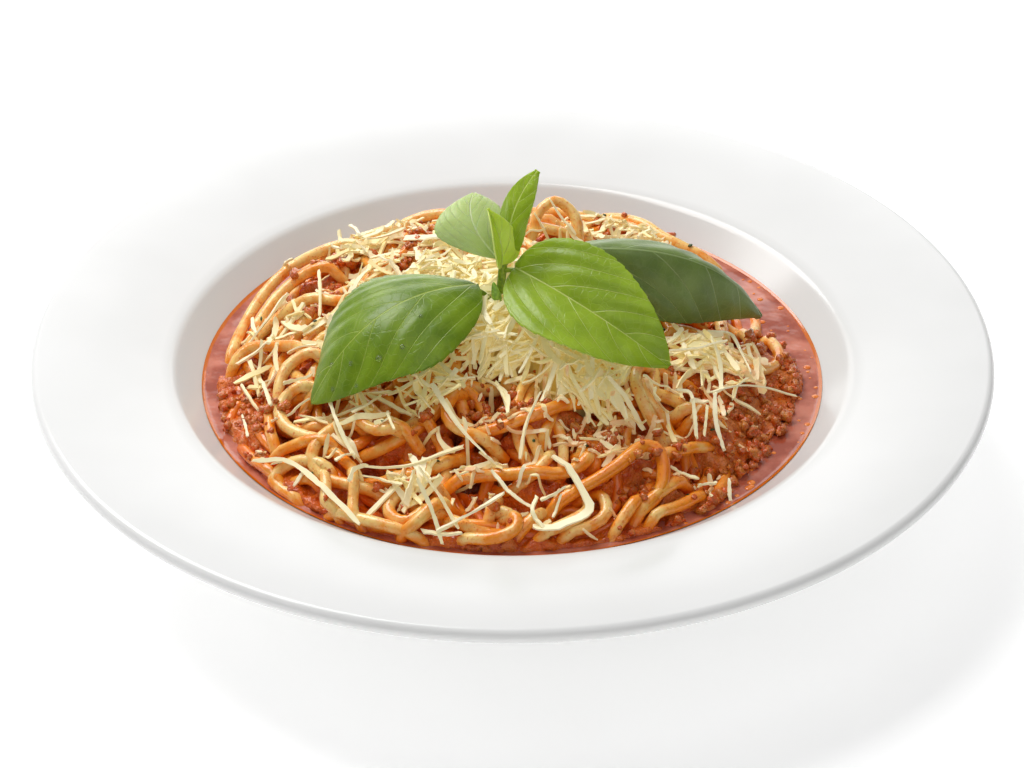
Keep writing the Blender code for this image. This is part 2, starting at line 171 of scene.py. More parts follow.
def vertices_of(mesh: bpy.types.Mesh) -> np.ndarray:
    """Reads a mesh's vertices.

    Args:
        mesh: the mesh, in metres.

    Returns:
        Its vertices in mm, a row for each.
    """
    flat = np.empty(len(mesh.vertices) * 3, np.float32)
    mesh.vertices.foreach_get("co", flat)
    return flat.reshape(-1, 3).astype(float) / MM


def add_piece(
    name: str,
    mesh: bpy.types.Mesh,
    materials: Iterable[bpy.types.Material],
    slot: str,
    nodes: Sequence[str] = (),
    crease: float = 180.0,
) -> bpy.types.Object:
    """Puts a finished mesh in the scene as a piece of the dish.

    Args:
        name: the piece's name.
        mesh: its mesh, in metres and in place.
        materials: its finishes, in the order of its material slots.
        slot: the record's material slot; not used.
        nodes: the CAD nodes that it stands for.
        crease: the angle in degrees past which an edge is sharp.

    Returns:
        The piece.
    """
    for material in materials:
        mesh.materials.append(material)
    mesh.shade_smooth()
    if crease < 180.0:
        mesh.set_sharp_from_angle(angle=math.radians(crease))
    piece = bpy.data.objects.new(name, mesh)
    bpy.context.scene.collection.objects.link(piece)
    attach(piece, BODY)
    if nodes:
        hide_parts(*nodes)
    triangles = sum(len(polygon.vertices) - 2 for polygon in mesh.polygons)
    log.info("%s: %d triangles", name, triangles)
    return piece


def swept_tubes(
    lines: Sequence[np.ndarray], radii: Sequence[np.ndarray], name: str, roundness: int
) -> tuple[bpy.types.Mesh, np.ndarray]:
    """Sweeps a round tube with closed ends along each line, and joins them.

    Args:
        lines: the centrelines' points in mm.
        radii: the radius in mm at each point.
        name: the mesh's name.
        roundness: the curve's bevel resolution.

    Returns:
        The mesh, and for each of its vertices the number of its line.
    """
    curve = bpy.data.curves.new(name, "CURVE")
    curve.dimensions = "3D"
    curve.bevel_depth = MM
    curve.bevel_resolution = roundness
    curve.use_fill_caps = True
    for line, radius in zip(lines, radii):
        spline = curve.splines.new("POLY")
        spline.points.add(len(line) - 1)
        spline.points.foreach_set("co", np.column_stack([line * MM, np.ones(len(line))]).ravel())
        spline.points.foreach_set("radius", radius)
    holder = bpy.data.objects.new(name, curve)
    mesh = bpy.data.meshes.new_from_object(holder)
    bpy.data.objects.remove(holder)
    counts = np.array([len(line) for line in lines])
    around = len(mesh.vertices) // (counts.sum() + 2 * len(counts))
    numbers = np.arange(len(counts))
    caps = np.repeat(numbers[::-1], 2 * around)  # the caps come first, from the last line back
    add_attribute(mesh, "line", np.concatenate([caps, np.repeat(numbers, counts * around)]))
    bm = bmesh.new()
    bm.from_mesh(mesh)
    bmesh.ops.remove_doubles(bm, verts=bm.verts, dist=1e-7)
    bm.to_mesh(mesh)
    bm.free()
    owner = np.empty(len(mesh.vertices), np.float32)
    mesh.attributes["line"].data.foreach_get("value", owner)
    mesh.attributes.remove(mesh.attributes["line"])
    return mesh, np.rint(owner).astype(int)


def closed_grid(
    size: float, cells: int, centre: tuple, shape: Callable, skirt: Callable, name: str
) -> bpy.types.Mesh:
    """Raises part of a grid to its heights and closes it underneath.

    Args:
        size: half the grid's side in mm.
        cells: how many cells it has each way.
        centre: x and y of its middle in mm.
        shape: gives heights in mm and which places are kept, for places in mm.
        skirt: gives where an edge's point goes underneath, for where it is.
        name: the mesh's name.

    Returns:
        The closed mesh.
    """
    bm = bmesh.new()
    bmesh.ops.create_grid(bm, x_segments=cells, y_segments=cells, size=size * MM)
    bm.transform(Matrix.Translation((centre[0] * MM, centre[1] * MM, 0.0)))
    heights, kept = shape(np.array([vert.co[:2] for vert in bm.verts]) / MM)
    for vert, height in zip(bm.verts, heights):
        vert.co.z = height * MM
    outside = [vert for vert, within in zip(bm.verts, kept) if not within]
    bmesh.ops.delete(bm, geom=outside, context="VERTS")
    edges = [edge for edge in bm.edges if edge.is_boundary]
    made = bmesh.ops.extrude_edge_only(bm, edges=edges)["geom"]
    for vert in (item for item in made if isinstance(item, bmesh.types.BMVert)):
        vert.co = skirt(vert.co)
    edges = [edge for edge in bm.edges if edge.is_boundary]
    bmesh.ops.holes_fill(bm, edges=edges, sides=0)
    return mesh_from(bm, name)


def mould_from(create: Callable, **sizes: float) -> tuple[bpy.types.Mesh, np.ndarray]:
    """Makes the mould for small things that are joined in hundreds.

    Args:
        create: the bmesh operator that shapes it.
        sizes: the operator's own sizes.

    Returns:
        The mould, and its corners as it was shaped.
    """
    bm = bmesh.new()
    create(bm, **sizes)
    mould = mesh_from(bm, "mould")
    return mould, vertices_of(mould) * MM


def joined_copies(mould: bpy.types.Mesh, corners: np.ndarray, name: str) -> bpy.types.Mesh:
    """Joins many copies of a small mesh into one, each with its own corners.

    Args:
        mould: the small mesh, for its faces.
        corners: copies x vertices x 3, in millimetres.
        name: the joined mesh's name.

    Returns:
        The joined mesh, with a closed shape for each copy.
    """
    copies, count = corners.shape[:2]
    sizes = np.array([len(face.vertices) for face in mould.polygons])
    loops = np.array([v for face in mould.polygons for v in face.vertices])
    mesh = bpy.data.meshes.new(name)
    mesh.vertices.add(copies * count)
    mesh.vertices.foreach_set("co", (corners * MM).astype(np.float32).ravel())
    offsets = np.repeat(np.arange(copies) * count, len(loops))
    mesh.loops.add(copies * len(loops))
    mesh.loops.foreach_set("vertex_index", (np.tile(loops, copies) + offsets).astype(np.int32))
    starts = np.concatenate([[0], np.cumsum(np.tile(sizes, copies))[:-1]])
    mesh.polygons.add(copies * len(sizes))
    mesh.polygons.foreach_set("loop_start", starts.astype(np.int32))
    mesh.update(calc_edges=True)
    mesh.validate()
    return mesh


# ---- finishes
def per_mm(size: float) -> float:
    """The scale at which a pattern on Object coordinates has marks size millimetres across."""
    return 1.0 / (size * MM)


class Nodes:
    """The nodes of a material or of the sky while they are put together."""

    def __init__(self, tree: bpy.types.NodeTree) -> None:
        """Keeps the tree that nodes are added to."""
        self.tree = tree

    def add(
        self, kind: str, values: dict | None = None, output: int | str = 0, **settings: object
    ) -> bpy.types.NodeSocket:
        """Adds a node with its settings and links.

        Args:
            kind: the node's type, without the leading "ShaderNode".
            values: a value or a socket for each input, by the input's number or name.
            output: the output that is wanted, by number or name.
            settings: the node's own settings.

        Returns:
            The output's socket.
        """
        node = self.tree.nodes.new("ShaderNode" + kind)
        for key, value in settings.items():
            setattr(node, key, value)
        self.fill(node, values or {})
        return node.outputs[output]

    def fill(self, node: bpy.types.Node, values: dict) -> None:
        """Sets or links a node's inputs.

        Args:
            node: the node.
            values: a value or a socket for each input, by the input's number or name.
        """
        for key, value in values.items():
            if isinstance(value, bpy.types.NodeSocket):
                self.tree.links.new(value, node.inputs[key])
            else:
                node.inputs[key].default_value = value


class Finish(Nodes):
    """A material while its nodes are put together."""

    def __init__(self, name: str) -> None:
        """Starts a material with its shader.

        Args:
            name: the material's name.
        """
        self.material = bpy.data.materials.new(name)
        self.material.use_nodes = True
        super().__init__(self.material.node_tree)
        self.shader = self.tree.nodes["Principled BSDF"]
        self.place = self.add("TexCoord", output="Object")

    def finish(
        self, values: dict, height: bpy.types.NodeSocket, depth: float
    ) -> bpy.types.Material:
        """Sets the shader and its bump.

        Args:
            values: the shader's inputs.
            height: the socket with the bump's height, about 0 to 1.
            depth: the bump's depth in millimetres.

        Returns:
            The material.
        """
        normal = self.add("Bump", {"Height": height, "Distance": depth * MM})
        self.fill(self.shader, {**values, "Normal": normal})
        return self.material


@dataclass(frozen=True)
class GlazedPorcelain:
    """White hotel porcelain, glazed and fired: an even, hard gloss over a clean white body."""

    glaze: str = "#EDEDEC"
    grey_glaze_and_well_shade: str = "#DADAD8"
    # radii in metres over which the painted shade of the well fades in
    well: tuple = (0.0925, 0.0865)

    def material(self) -> bpy.types.Material:
        """Makes the material: the glaze is a touch greyer in clouds where it ran thick, and the whole
        well is painted greyer as shade.

        Returns:
            The material.
        """
        f = Finish("glazed_porcelain")
        cloud = f.add("TexNoise", {"Vector": f.place, "Scale": per_mm(38.0), "Detail": 2.0})
        limits = {"Value": cloud, "From Min": 0.35, "From Max": 0.7, "To Max": 0.25}
        share = f.add("MapRange", limits)
        flat = f.add("VectorMath", {0: f.place, 1: (1.0, 1.0, 0.0)}, operation="MULTIPLY")
        off_centre = f.add("VectorMath", {0: flat}, "Value", operation="LENGTH")
        # painted shade: inside the rim the glaze is mixed fully to its grey, standing in for the shade
        # on the well's walls
        start, end = self.well
        down = f.add("MapRange", {"Value": off_centre, "From Min": start, "From Max": end})
        share = f.add("Math", {0: share, 1: down}, operation="MAXIMUM")
        tones = {0: share, 6: linear(self.glaze), 7: linear(self.grey_glaze_and_well_shade)}
        ripple = f.add("TexNoise", {"Vector": f.place, "Scale": per_mm(7.0), "Detail": 1.0})
        colour = f.add("Mix", tones, 2, data_type="RGBA")
        return f.finish({"Base Color": colour, "Roughness": 0.18, "IOR": 1.5}, ripple, 0.02)


@dataclass(frozen=True)
class SaucedPasta:
    """Boiled durum wheat pasta tossed in sauce: a waxy cream skin under an oily orange film."""

    cream: str = "#FFDC90"
    golden: str = "#FEC45A"
    film: str = "#FA9622"
    thick: str = "#E4660C"

    def material(self) -> bpy.types.Material:
        """Makes the material: the film breaks up on top, thickens low down, where its darker orange is
        partly sauce and partly painted shade, and carries specks.

        Returns:
            The material.
        """
        f = Finish("sauced_pasta")
        tone = f.add("Attribute", output="Fac", attribute_name="tone")
        sauce = f.add("Attribute", output="Fac", attribute_name="sauce")
        tones = {0: tone, 6: linear(self.cream), 7: linear(self.golden)}
        colour = f.add("Mix", tones, 2, data_type="RGBA")
        cloud = f.add("TexNoise", {"Vector": f.place, "Scale": per_mm(4.0), "Detail": 4.0})
        coat = f.add("Math", {0: cloud, 1: 1.5, 2: sauce}, operation="MULTIPLY_ADD")
        film = f.add("MapRange", {"Value": coat, "From Min": 0.68, "From Max": 1.10})
        thick = f.add("MapRange", {"Value": coat, "From Min": 1.15, "From Max": 1.75})
        dots = f.add("TexNoise", {"Vector": f.place, "Scale": per_mm(0.8), "Detail": 2.0})
        limits = {"Value": dots, "From Min": 0.6, "From Max": 0.7, "To Max": 0.65}
        specks = f.add("MapRange", limits)
        for share, over in ((film, self.film), (thick, self.thick), (specks, self.thick)):
            colour = f.add("Mix", {0: share, 6: colour, 7: linear(over)}, 2, data_type="RGBA")
        values = {
            "Base Color": colour,
            "Roughness": f.add("MapRange", {"Value": coat, "To Min": 0.38, "To Max": 0.22}),
            "IOR": 1.42,
            "Subsurface Weight": 0.2,
            "Subsurface Radius": (1.0, 0.6, 0.3),
            "Subsurface Scale": 0.8 * MM,
            "Coat Weight": 0.5,
            "Coat Roughness": 0.12,
        }
        relief = f.add("Math", {0: dots, 1: 0.6, 2: thick}, operation="MULTIPLY_ADD")
        return f.finish(values, relief, 0.2)


@dataclass(frozen=True)
class CookedSauce:
    """Tomato sauce with mince cooked down in it: wet, coarse and red-brown, with painted shade nearly
    black in the gaps.
    """

    orange: str = "#EC7414"
    brown: str = "#C64A06"
    dark: str = "#6A1C02"
    meat: str = "#DC7A30"

    def material(self) -> bpy.types.Material:
        """Makes the material: crumbs of mince stand out of a wet red sauce, and the gaps are painted
        dark as shade.

        Returns:
            The material.
        """
        f = Finish("cooked_sauce")
        lump = f.add("Attribute", output="Fac", attribute_name="lump")
        depth = f.add("Attribute", output="Fac", attribute_name="depth")
        cloud = f.add("TexNoise", {"Vector": f.place, "Scale": per_mm(5.0), "Detail": 3.0})
        share = f.add("MapRange", {"Value": cloud, "From Min": 0.4, "From Max": 0.62})
        tones = {0: share, 6: linear(self.orange), 7: linear(self.brown)}
        colour = f.add("Mix", tones, 2, data_type="RGBA")
        grain = f.add("TexNoise", {"Vector": f.place, "Scale": per_mm(1.1), "Detail": 5.0})
        crumb = f.add("Math", {0: grain, 1: 1.2, 2: lump}, operation="MULTIPLY_ADD")
        crumb = f.add("MapRange", {"Value": crumb, "From Min": 0.85, "From Max": 1.35, "To Max": 0.9})
        # the depth share mixes in the dark colour: painted shade in the gaps under the noodles
        for share, over in ((crumb, self.meat), (depth, self.dark)):
            colour = f.add("Mix", {0: share, 6: colour, 7: linear(over)}, 2, data_type="RGBA")
        fine = f.add("TexNoise", {"Vector": f.place, "Scale": per_mm(0.5), "Detail": 2.0})
        values = {
            "Base Color": colour,
            "Roughness": 0.24,
            "IOR": 1.38,
            "Coat Weight": 0.5,
            "Coat Roughness": 0.04,
        }
        relief = f.add("Math", {0: fine, 1: 0.4, 2: grain}, operation="MULTIPLY_ADD")
        return f.finish(values, relief, 1.0)


@dataclass(frozen=True)
class ThinSauce:
    """The thin tomato juice that runs out: cloudy pink-red, with a broken orange line of oil."""

    red: str = "#CC7C64"
    deep: str = "#A04A32"
    oil: str = "#D9690F"

    def material(self) -> bpy.types.Material:
        """Makes the material: pulp clouds the juice, and oil gathers where it meets the plate.

        Returns:
            The material.
        """
        f = Finish("thin_tomato_sauce")
        rim = f.add("Attribute", output="Fac", attribute_name="rim")
        cloud = f.add("TexNoise", {"Vector": f.place, "Scale": per_mm(9.0), "Detail": 4.0})
        share = f.add("MapRange", {"Value": cloud, "From Min": 0.38, "From Max": 0.62})
        tones = {0: share, 6: linear(self.red), 7: linear(self.deep)}
        colour = f.add("Mix", tones, 2, data_type="RGBA")
        broken = f.add("TexNoise", {"Vector": f.place, "Scale": per_mm(5.0), "Detail": 2.0})
        line = f.add("Math", {0: broken, 1: 0.8, 2: rim}, operation="MULTIPLY_ADD")
        line = f.add("MapRange", {"Value": line, "From Min": 0.9, "From Max": 1.3})
        colour = f.add("Mix", {0: line, 6: colour, 7: linear(self.oil)}, 2, data_type="RGBA")
        values = {
            "Base Color": colour,
            "Roughness": 0.07,
            "IOR": 1.38,
            "Subsurface Weight": 0.3,
            "Subsurface Radius": (1.0, 0.35, 0.2),
            "Subsurface Scale": 1.5 * MM,
            "Coat Weight": 0.5,
            "Coat Roughness": 0.03,
        }
        return f.finish(values, broken, 0.12)


@dataclass(frozen=True)
class SimmeredMince:
    """Minced beef simmered in tomato: knobbly brown crumbs in a wet orange-red coat."""

    beef: str = "#CA661E"
    rust: str = "#E68E34"
    sauce: str = "#E45604"

    def material(self) -> bpy.types.Material:
        """Makes the material: each crumb has its own brown, with sauce in its folds.

        Returns:
            The material.
        """
        f = Finish("simmered_mince")
        tone = f.add("Attribute", output="Fac", attribute_name="tone")
        tones = {0: tone, 6: linear(self.beef), 7: linear(self.rust)}
        colour = f.add("Mix", tones, 2, data_type="RGBA")
        wet = f.add("TexNoise", {"Vector": f.place, "Scale": per_mm(1.6), "Detail": 3.0})
        limits = {"Value": wet, "From Min": 0.42, "From Max": 0.6, "To Max": 0.8}
        share = f.add("MapRange", limits)
        colour = f.add("Mix", {0: share, 6: colour, 7: linear(self.sauce)}, 2, data_type="RGBA")
        grain = f.add("TexNoise", {"Vector": f.place, "Scale": per_mm(0.6), "Detail": 4.0})
        values = {
            "Base Color": colour,
            "Roughness": 0.24,
            "IOR": 1.38,
            "Coat Weight": 0.7,
            "Coat Roughness": 0.04,
        }
        return f.finish(values, grain, 0.8)


@dataclass(frozen=True)
class GratedHardCheese:
    """Hard cow's milk cheese, grated: waxy pale shreds, orange in sauce, and yellow deep in a drift,
    which is painted light for what runs through the shreds.
    """

    pale: str = "#FBF2D2"
    cream: str = "#F8E8A8"
    deep: str = "#F2D25E"
    soaked: str = "#F0B98C"
    painted_glow_colour: str = "#F4E08A"

    def material(self) -> bpy.types.Material:
        """Makes the material: the yellow of light that runs through many shreds is painted deep in a
        drift, with a faint painted glow.

        Returns:
            The material.
        """
        f = Finish("grated_hard_cheese")
        names = ("tone", "depth", "soak")
        tone, depth, soak = (f.add("Attribute", output="Fac", attribute_name=n) for n in names)
        tones = {0: tone, 6: linear(self.pale), 7: linear(self.cream)}
        colour = f.add("Mix", tones, 2, data_type="RGBA")
        stain = f.add("TexNoise", {"Vector": f.place, "Scale": per_mm(3.0), "Detail": 2.0})
        stain = f.add("MapRange", {"Value": stain, "From Min": 0.3, "From Max": 0.6})
        soak = f.add("Math", {0: soak, 1: stain}, operation="MULTIPLY", use_clamp=True)
        # depth mixes in the deep yellow, painted light for what runs through the shreds; soak adds real
        # sauce stains
        for share, over in ((depth, self.deep), (soak, self.soaked)):
            colour = f.add("Mix", {0: share, 6: colour, 7: linear(over)}, 2, data_type="RGBA")
        grain = f.add("TexNoise", {"Vector": f.place, "Scale": per_mm(0.6), "Detail": 2.0})
        # painted glow: a faint emission, strongest on the top shreds, stands in for light through the
        # cheese
        glow = f.add("MapRange", {"Value": depth, "To Min": 0.095, "To Max": 0.02})
        values = {
            "Base Color": colour,
            "Roughness": 0.42,
            "IOR": 1.4,
            "Emission Color": linear(self.painted_glow_colour),
            "Emission Strength": glow,
        }
        return f.finish(values, grain, 0.08)


class LeafSide(Enum):
    """The two faces of a blade: how far veins stand out, how much paler and how matt it is."""

    UPPER = (-1.0, 0.0, 0.0)
    UNDER = (1.0, 0.55, 0.16)

    def __init__(self, veins_out: float, pallor: float, matt: float) -> None:
        """Keeps the side's looks.

        Args:
            veins_out: 1 where veins stand out of the face, -1 where they are sunk in it.
            pallor: share of the vein's pale green in the face.
            matt: added to the roughness.
        """
        self.veins_out = veins_out
        self.pallor = pallor
        self.matt = matt


@dataclass(frozen=True)
class BasilBlade:
    """A fresh basil leaf: waxy and puckered, veins sunk above and raised on a paler underside."""

    name: str
    green: str
    deep: str
    vein: str
    roughness: float = 0.34

    def material(self, side: LeafSide) -> bpy.types.Material:
        """Makes the material from the leaf's own vein coordinates.

        Args:
            side: the face that it is for.

        Returns:
            The material.
        """
        f = Finish(self.name + "_" + side.name.lower())
        coords = f.add("Attribute", output="Vector", attribute_name="veins")
        phase, off_rib, along = (f.add("SeparateXYZ", {"Vector": coords}, axis) for axis in "XYZ")
        cell = f.add("Math", {0: phase, 1: 0.5, 2: 1.0}, operation="PINGPONG")
        cell = f.add("Math", {0: cell, 1: 2.0}, operation="MULTIPLY")
        side_vein = f.add("MapRange", {"Value": cell, "From Min": 0.06, "From Max": 0.0})
        off_rib = f.add("Math", {0: off_rib}, operation="ABSOLUTE")
        rib_width = f.add("MapRange", {"Value": along, "To Min": 0.42, "To Max": 0.16})
        rib = f.add("Math", {0: off_rib, 1: rib_width}, operation="DIVIDE")
        rib = f.add("MapRange", {"Value": rib, "From Min": 1.0, "From Max": 0.4})
        veins = f.add("Math", {0: side_vein, 1: rib}, operation="MAXIMUM")
        net = {"Vector": f.place, "Scale": per_mm(2.2)}
        web = f.add("TexVoronoi", net, feature="DISTANCE_TO_EDGE")
        web = f.add("MapRange", {"Value": web, "From Min": 0.06, "From Max": 0.0, "To Max": 0.12})
        patch = f.add("TexNoise", {"Vector": f.place, "Scale": per_mm(9.0), "Detail": 4.0})
        patch = f.add("MapRange", {"Value": patch, "From Min": 0.36, "From Max": 0.64})
        tones = {0: patch, 6: linear(self.green), 7: linear(self.deep)}
        colour = f.add("Mix", tones, 2, data_type="RGBA")
        lines = f.add("Math", {0: veins, 1: 0.8, 2: web}, operation="MULTIPLY_ADD", use_clamp=True)
        if side.pallor:
            lines = f.add("Math", {0: lines, 1: side.pallor}, operation="ADD", use_clamp=True)
        colour = f.add("Mix", {0: lines, 6: colour, 7: linear(self.vein)}, 2, data_type="RGBA")
        relief = f.add("Math", {0: web, 1: 2.5, 2: veins}, operation="MULTIPLY_ADD")
        relief = f.add("Math", {0: relief, 1: side.veins_out}, operation="MULTIPLY")
        values = {
            "Base Color": colour,
            "Roughness": self.roughness + side.matt,
            "IOR": 1.4,
            "Subsurface Weight": 0.25,
            "Subsurface Radius": (0.6, 1.0, 0.15),
            "Subsurface Scale": 0.8 * MM,
        }
        return f.finish(values, relief, 0.10)


@dataclass(frozen=True)
class PlainFinish:
    """A small even finish with a fine grain: stalks, buds, chopped herbs, oil and water."""

    name: str
    light: str
    dark: str
    grain: float
    roughness: float = 0.4
    transmission: float = 0.0
    index: float = 1.45
    glow: float = 0.0

    def material(self) -> bpy.types.Material:
        """Makes the material, its two tones mingled at the size of its grain in mm.

        Returns:
            The material.
        """
        f = Finish(self.name)
        grain = f.add("TexNoise", {"Vector": f.place, "Scale": per_mm(self.grain), "Detail": 2.0})
        share = f.add("MapRange", {"Value": grain, "From Min": 0.4, "From Max": 0.6})
        tones = {0: share, 6: linear(self.light), 7: linear(self.dark)}
        values = {
            "Base Color": f.add("Mix", tones, 2, data_type="RGBA"),
            "Roughness": self.roughness,
            "IOR": self.index,
            "Transmission Weight": self.transmission,
            "Emission Color": linear(self.light),
            "Emission Strength": self.glow,
        }
        return f.finish(values, grain, 0.03)


# ---- the relief that food is laid on
class Relief:
    """Heights in mm over a square of the plate, on a grid that whatever is laid down raises."""

    HALF = 84.0
    COUNT = 281

    def __init__(self, heights: np.ndarray) -> None:
        """Holds the heights, indexed by x and then y."""
        self.heights = heights
        self.cell = 2.0 * self.HALF / (len(heights) - 1)

    @classmethod
    def grid(cls, count: int) -> np.ndarray:
        """x and y of every place on a grid of count by count."""
        axis = np.linspace(-cls.HALF, cls.HALF, count)
        return np.stack(np.meshgrid(axis, axis, indexing="ij"), -1)

    @classmethod
    def of_nodes(cls, names: Sequence[str], floor: float) -> "Relief":
        """Reads the upper sides of CAD nodes.

        Args:
            names: the nodes.
            floor: the height in mm where none of them lies.

        Returns:
            The relief.
        """
        places = cls.grid(cls.COUNT)
        heights = np.full(places.shape[:2], floor)
        down = Vector((0.0, 0.0, -1.0))
        for name in names:
            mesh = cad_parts[name].data
            faces = [tuple(face.vertices) for face in mesh.polygons]
            tree = BVHTree.FromPolygons([v.co for v in mesh.vertices], faces)
            for index in np.ndindex(heights.shape):
                x, y = places[index] * MM
                hit = tree.ray_cast(Vector((x, y, 0.2)), down)[0]
                if hit is not None:
                    heights[index] = max(heights[index], hit.z / MM)
        return cls(heights)

    @classmethod
    def swells(cls, rng: np.random.Generator, sigma: float) -> "Relief":
        """A random relief of mean 0 and spread 1, whose swells are about 2 sigma mm across."""
        heights = cls(rng.normal(0.0, 1.0, (cls.COUNT, cls.COUNT))).blurred(sigma).heights
        return cls((heights - heights.mean()) / heights.std())

    def places(self) -> np.ndarray:
        """x and y of every cell, as an array of the grid's shape x 2."""
        return self.grid(len(self.heights))

    def refined(self, count: int) -> "Relief":
        """The same relief on a grid of count by count."""
        return Relief(self.at(self.grid(count)))

    def blurred(self, sigma: float) -> "Relief":
        """Runs a Gaussian over the relief.

        Args:
            sigma: its width in mm.

        Returns:
            A smoother relief.
        """
        count = len(self.heights)
        off = (np.arange(count)[:, None] - np.arange(count)[None, :]) * self.cell / sigma
        band = np.exp(-0.5 * off**2)
        band /= band.sum(1, keepdims=True)
        return Relief(band @ self.heights @ band.T)

    def at(self, places: np.ndarray) -> np.ndarray:
        """Reads heights between the cells.

        Args:
            places: x and y in mm, in the last axis.

        Returns:
            A height in mm for each place.
        """
        cell = np.clip((places + self.HALF) / self.cell, 0.0, len(self.heights) - 1.001)
        low = cell.astype(int)
        fx, fy = np.moveaxis(cell - low, -1, 0)
        i, j = np.moveaxis(low, -1, 0)
        h = self.heights
        near = h[i, j] * (1.0 - fy) + h[i, j + 1] * fy
        far = h[i + 1, j] * (1.0 - fy) + h[i + 1, j + 1] * fy
        return near * (1.0 - fx) + far * fx

    def _patches(self, places: np.ndarray, radius: float) -> Iterable[tuple]:
        """Goes through the cells that balls can cover.

        Args:
            places: x and y of the balls in mm.
            radius: their radius in mm.

        Returns:
            The cells' indices and the square of the balls' rise there, one way off after another.
        """
        reach = int(math.ceil(radius / self.cell))
        base = np.rint((places + self.HALF) / self.cell).astype(int)
        for dx in range(-reach, reach + 1):
            for dy in range(-reach, reach + 1):
                i = np.clip(base[..., 0] + dx, 0, len(self.heights) - 1)
                j = np.clip(base[..., 1] + dy, 0, len(self.heights) - 1)
                off_x = i * self.cell - self.HALF - places[..., 0]
                off_y = j * self.cell - self.HALF - places[..., 1]
                yield i, j, radius**2 - off_x**2 - off_y**2

    def rest(self, places: np.ndarray, radius: float) -> np.ndarray:
        """Rests balls on the relief.

        Args:
            places: x and y in mm, in the last axis.
            radius: the balls' radius in mm.

        Returns:
            The height of each ball's centre in mm.
        """
        best = self.at(places) + 0.7 * radius
        for i, j, rise in self._patches(places, radius):
            height = self.heights[i, j] + np.sqrt(np.maximum(rise, 0.0))
            best = np.where(rise > 0.0, np.maximum(best, height), best)
        return best

    def press(self, points: np.ndarray, radius: float) -> None:
        """Raises the relief over balls, as when something has been laid there.

        Args:
            points: x, y and z of the balls' centres in mm.
            radius: their radius in mm.
        """
        points = points.reshape(-1, 3)
        for i, j, rise in self._patches(points[:, :2], radius):
            height = points[:, 2] + np.sqrt(np.maximum(rise, 0.0))
            np.maximum.at(self.heights, (i[rise > 0.0], j[rise > 0.0]), height[rise > 0.0])


@dataclass(frozen=True)
class Spot:
    """A round place on the heap: centre and reach in mm, and how much of something is there."""

    x: float
    y: float
    reach: float
    amount: float


def gathered(spots: Sequence[Spot], places: np.ndarray) -> np.ndarray:
    """Sums spots at places, each fading smoothly to nothing at its reach.

    Args:
        spots: the spots.
        places: x and y in mm, in the last axis.

    Returns:
        The amount at each place.
    """
    total = np.zeros(places.shape[:-1])
    for spot in spots:
        off = np.hypot(places[..., 0] - spot.x, places[..., 1] - spot.y) / spot.reach
        total += spot.amount * (1.0 - np.minimum(off, 1.0) ** 2) ** 2
    return total


# Where the mince lies, and how thickly: 1 and more covers the noodles.
MINCE_SPOTS = table(Spot, (
    (62, -18, 24, 1.2), (56, -40, 18, 1.2), (67, 3, 15, 1.2), (36, -52, 12, 0.5), (46, -61, 14, 0.9),
    (28, -45, 10, 0.7), (18, -48, 9, 0.8), (7, -45, 9, 0.7), (-7, -42, 10, 1.2), (-21, -48, 8, 0.8),
    (29, -64, 9, 0.6), (24, 47, 11, 1.0), (32, 54, 10, 1.2), (32, 60, 6, 0.9), (-25, 52, 8, 1.1),
    (-52, 39, 8, 0.9), (33, 42, 10, 0.8), (-10, 57, 8, 0.7), (-48, 33, 12, 1.1), (-55, 34, 10, 0.9),
    (-27, 36, 11, 1.1), (-26, 23, 9, 0.7), (-68, -8, 10, 0.8), (-69, -22, 12, 1.1), (-67, -35, 11, 0.9),
    (-60, -50, 8, 0.6), (-44, -55, 8, 0.5), (-29, -64, 8, 0.6), (-4, -77, 9, 0.7), (-45, 8, 10, 0.5),
))

# Hollows between the noodles, by depth in mm.
HOLLOWS = table(Spot, (
    (-8, -46, 12, 8.5), (11, 38, 8, 12.0), (-34, -50, 8, 5.5), (-36, -65, 8, 4.5), (-12, -64, 10, 6.0),
    (-1, -69, 7, 4.5), (26, -62, 9, 5.0), (38, -40, 7, 4.0), (20, -67, 7, 4.5), (39, -63, 7, 3.0),
    (-5, -55, 7, 5.0), (-55, -33, 8, 5.0), (-42, -48, 6, 4.0), (-24, -72, 8, 3.0),
))


class Outline:
    """The edge of a heap round the plate's centre: its radius in mm at a bearing."""

    def __init__(self, node: str, spokes: int = 64) -> None:
        """Reads the edge from a CAD node whose vertices lie on spokes.

        Args:
            node: the node's name.
            spokes: how many spokes it has.
        """
        points = vertices_of(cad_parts[node].data)
        bearing = np.arctan2(points[:, 1], points[:, 0])
        spoke = np.rint(bearing / math.tau * spokes).astype(int) % spokes
        radii = np.zeros(spokes)
        np.maximum.at(radii, spoke, np.hypot(points[:, 0], points[:, 1]))
        self.bearings = np.arange(spokes + 1) * math.tau / spokes
        self.radii = np.append(radii, radii[0])

    def at(self, places: np.ndarray) -> np.ndarray:
        """Radius of the edge in the direction of places."""
        bearing = np.arctan2(places[..., 1], places[..., 0]) % math.tau
        return np.interp(bearing, self.bearings, self.radii)

    def margin(self, places: np.ndarray) -> np.ndarray:
        """How far places lie inside the edge in mm, below 0 outside it."""
        return self.at(places) - np.hypot(places[..., 0], places[..., 1])


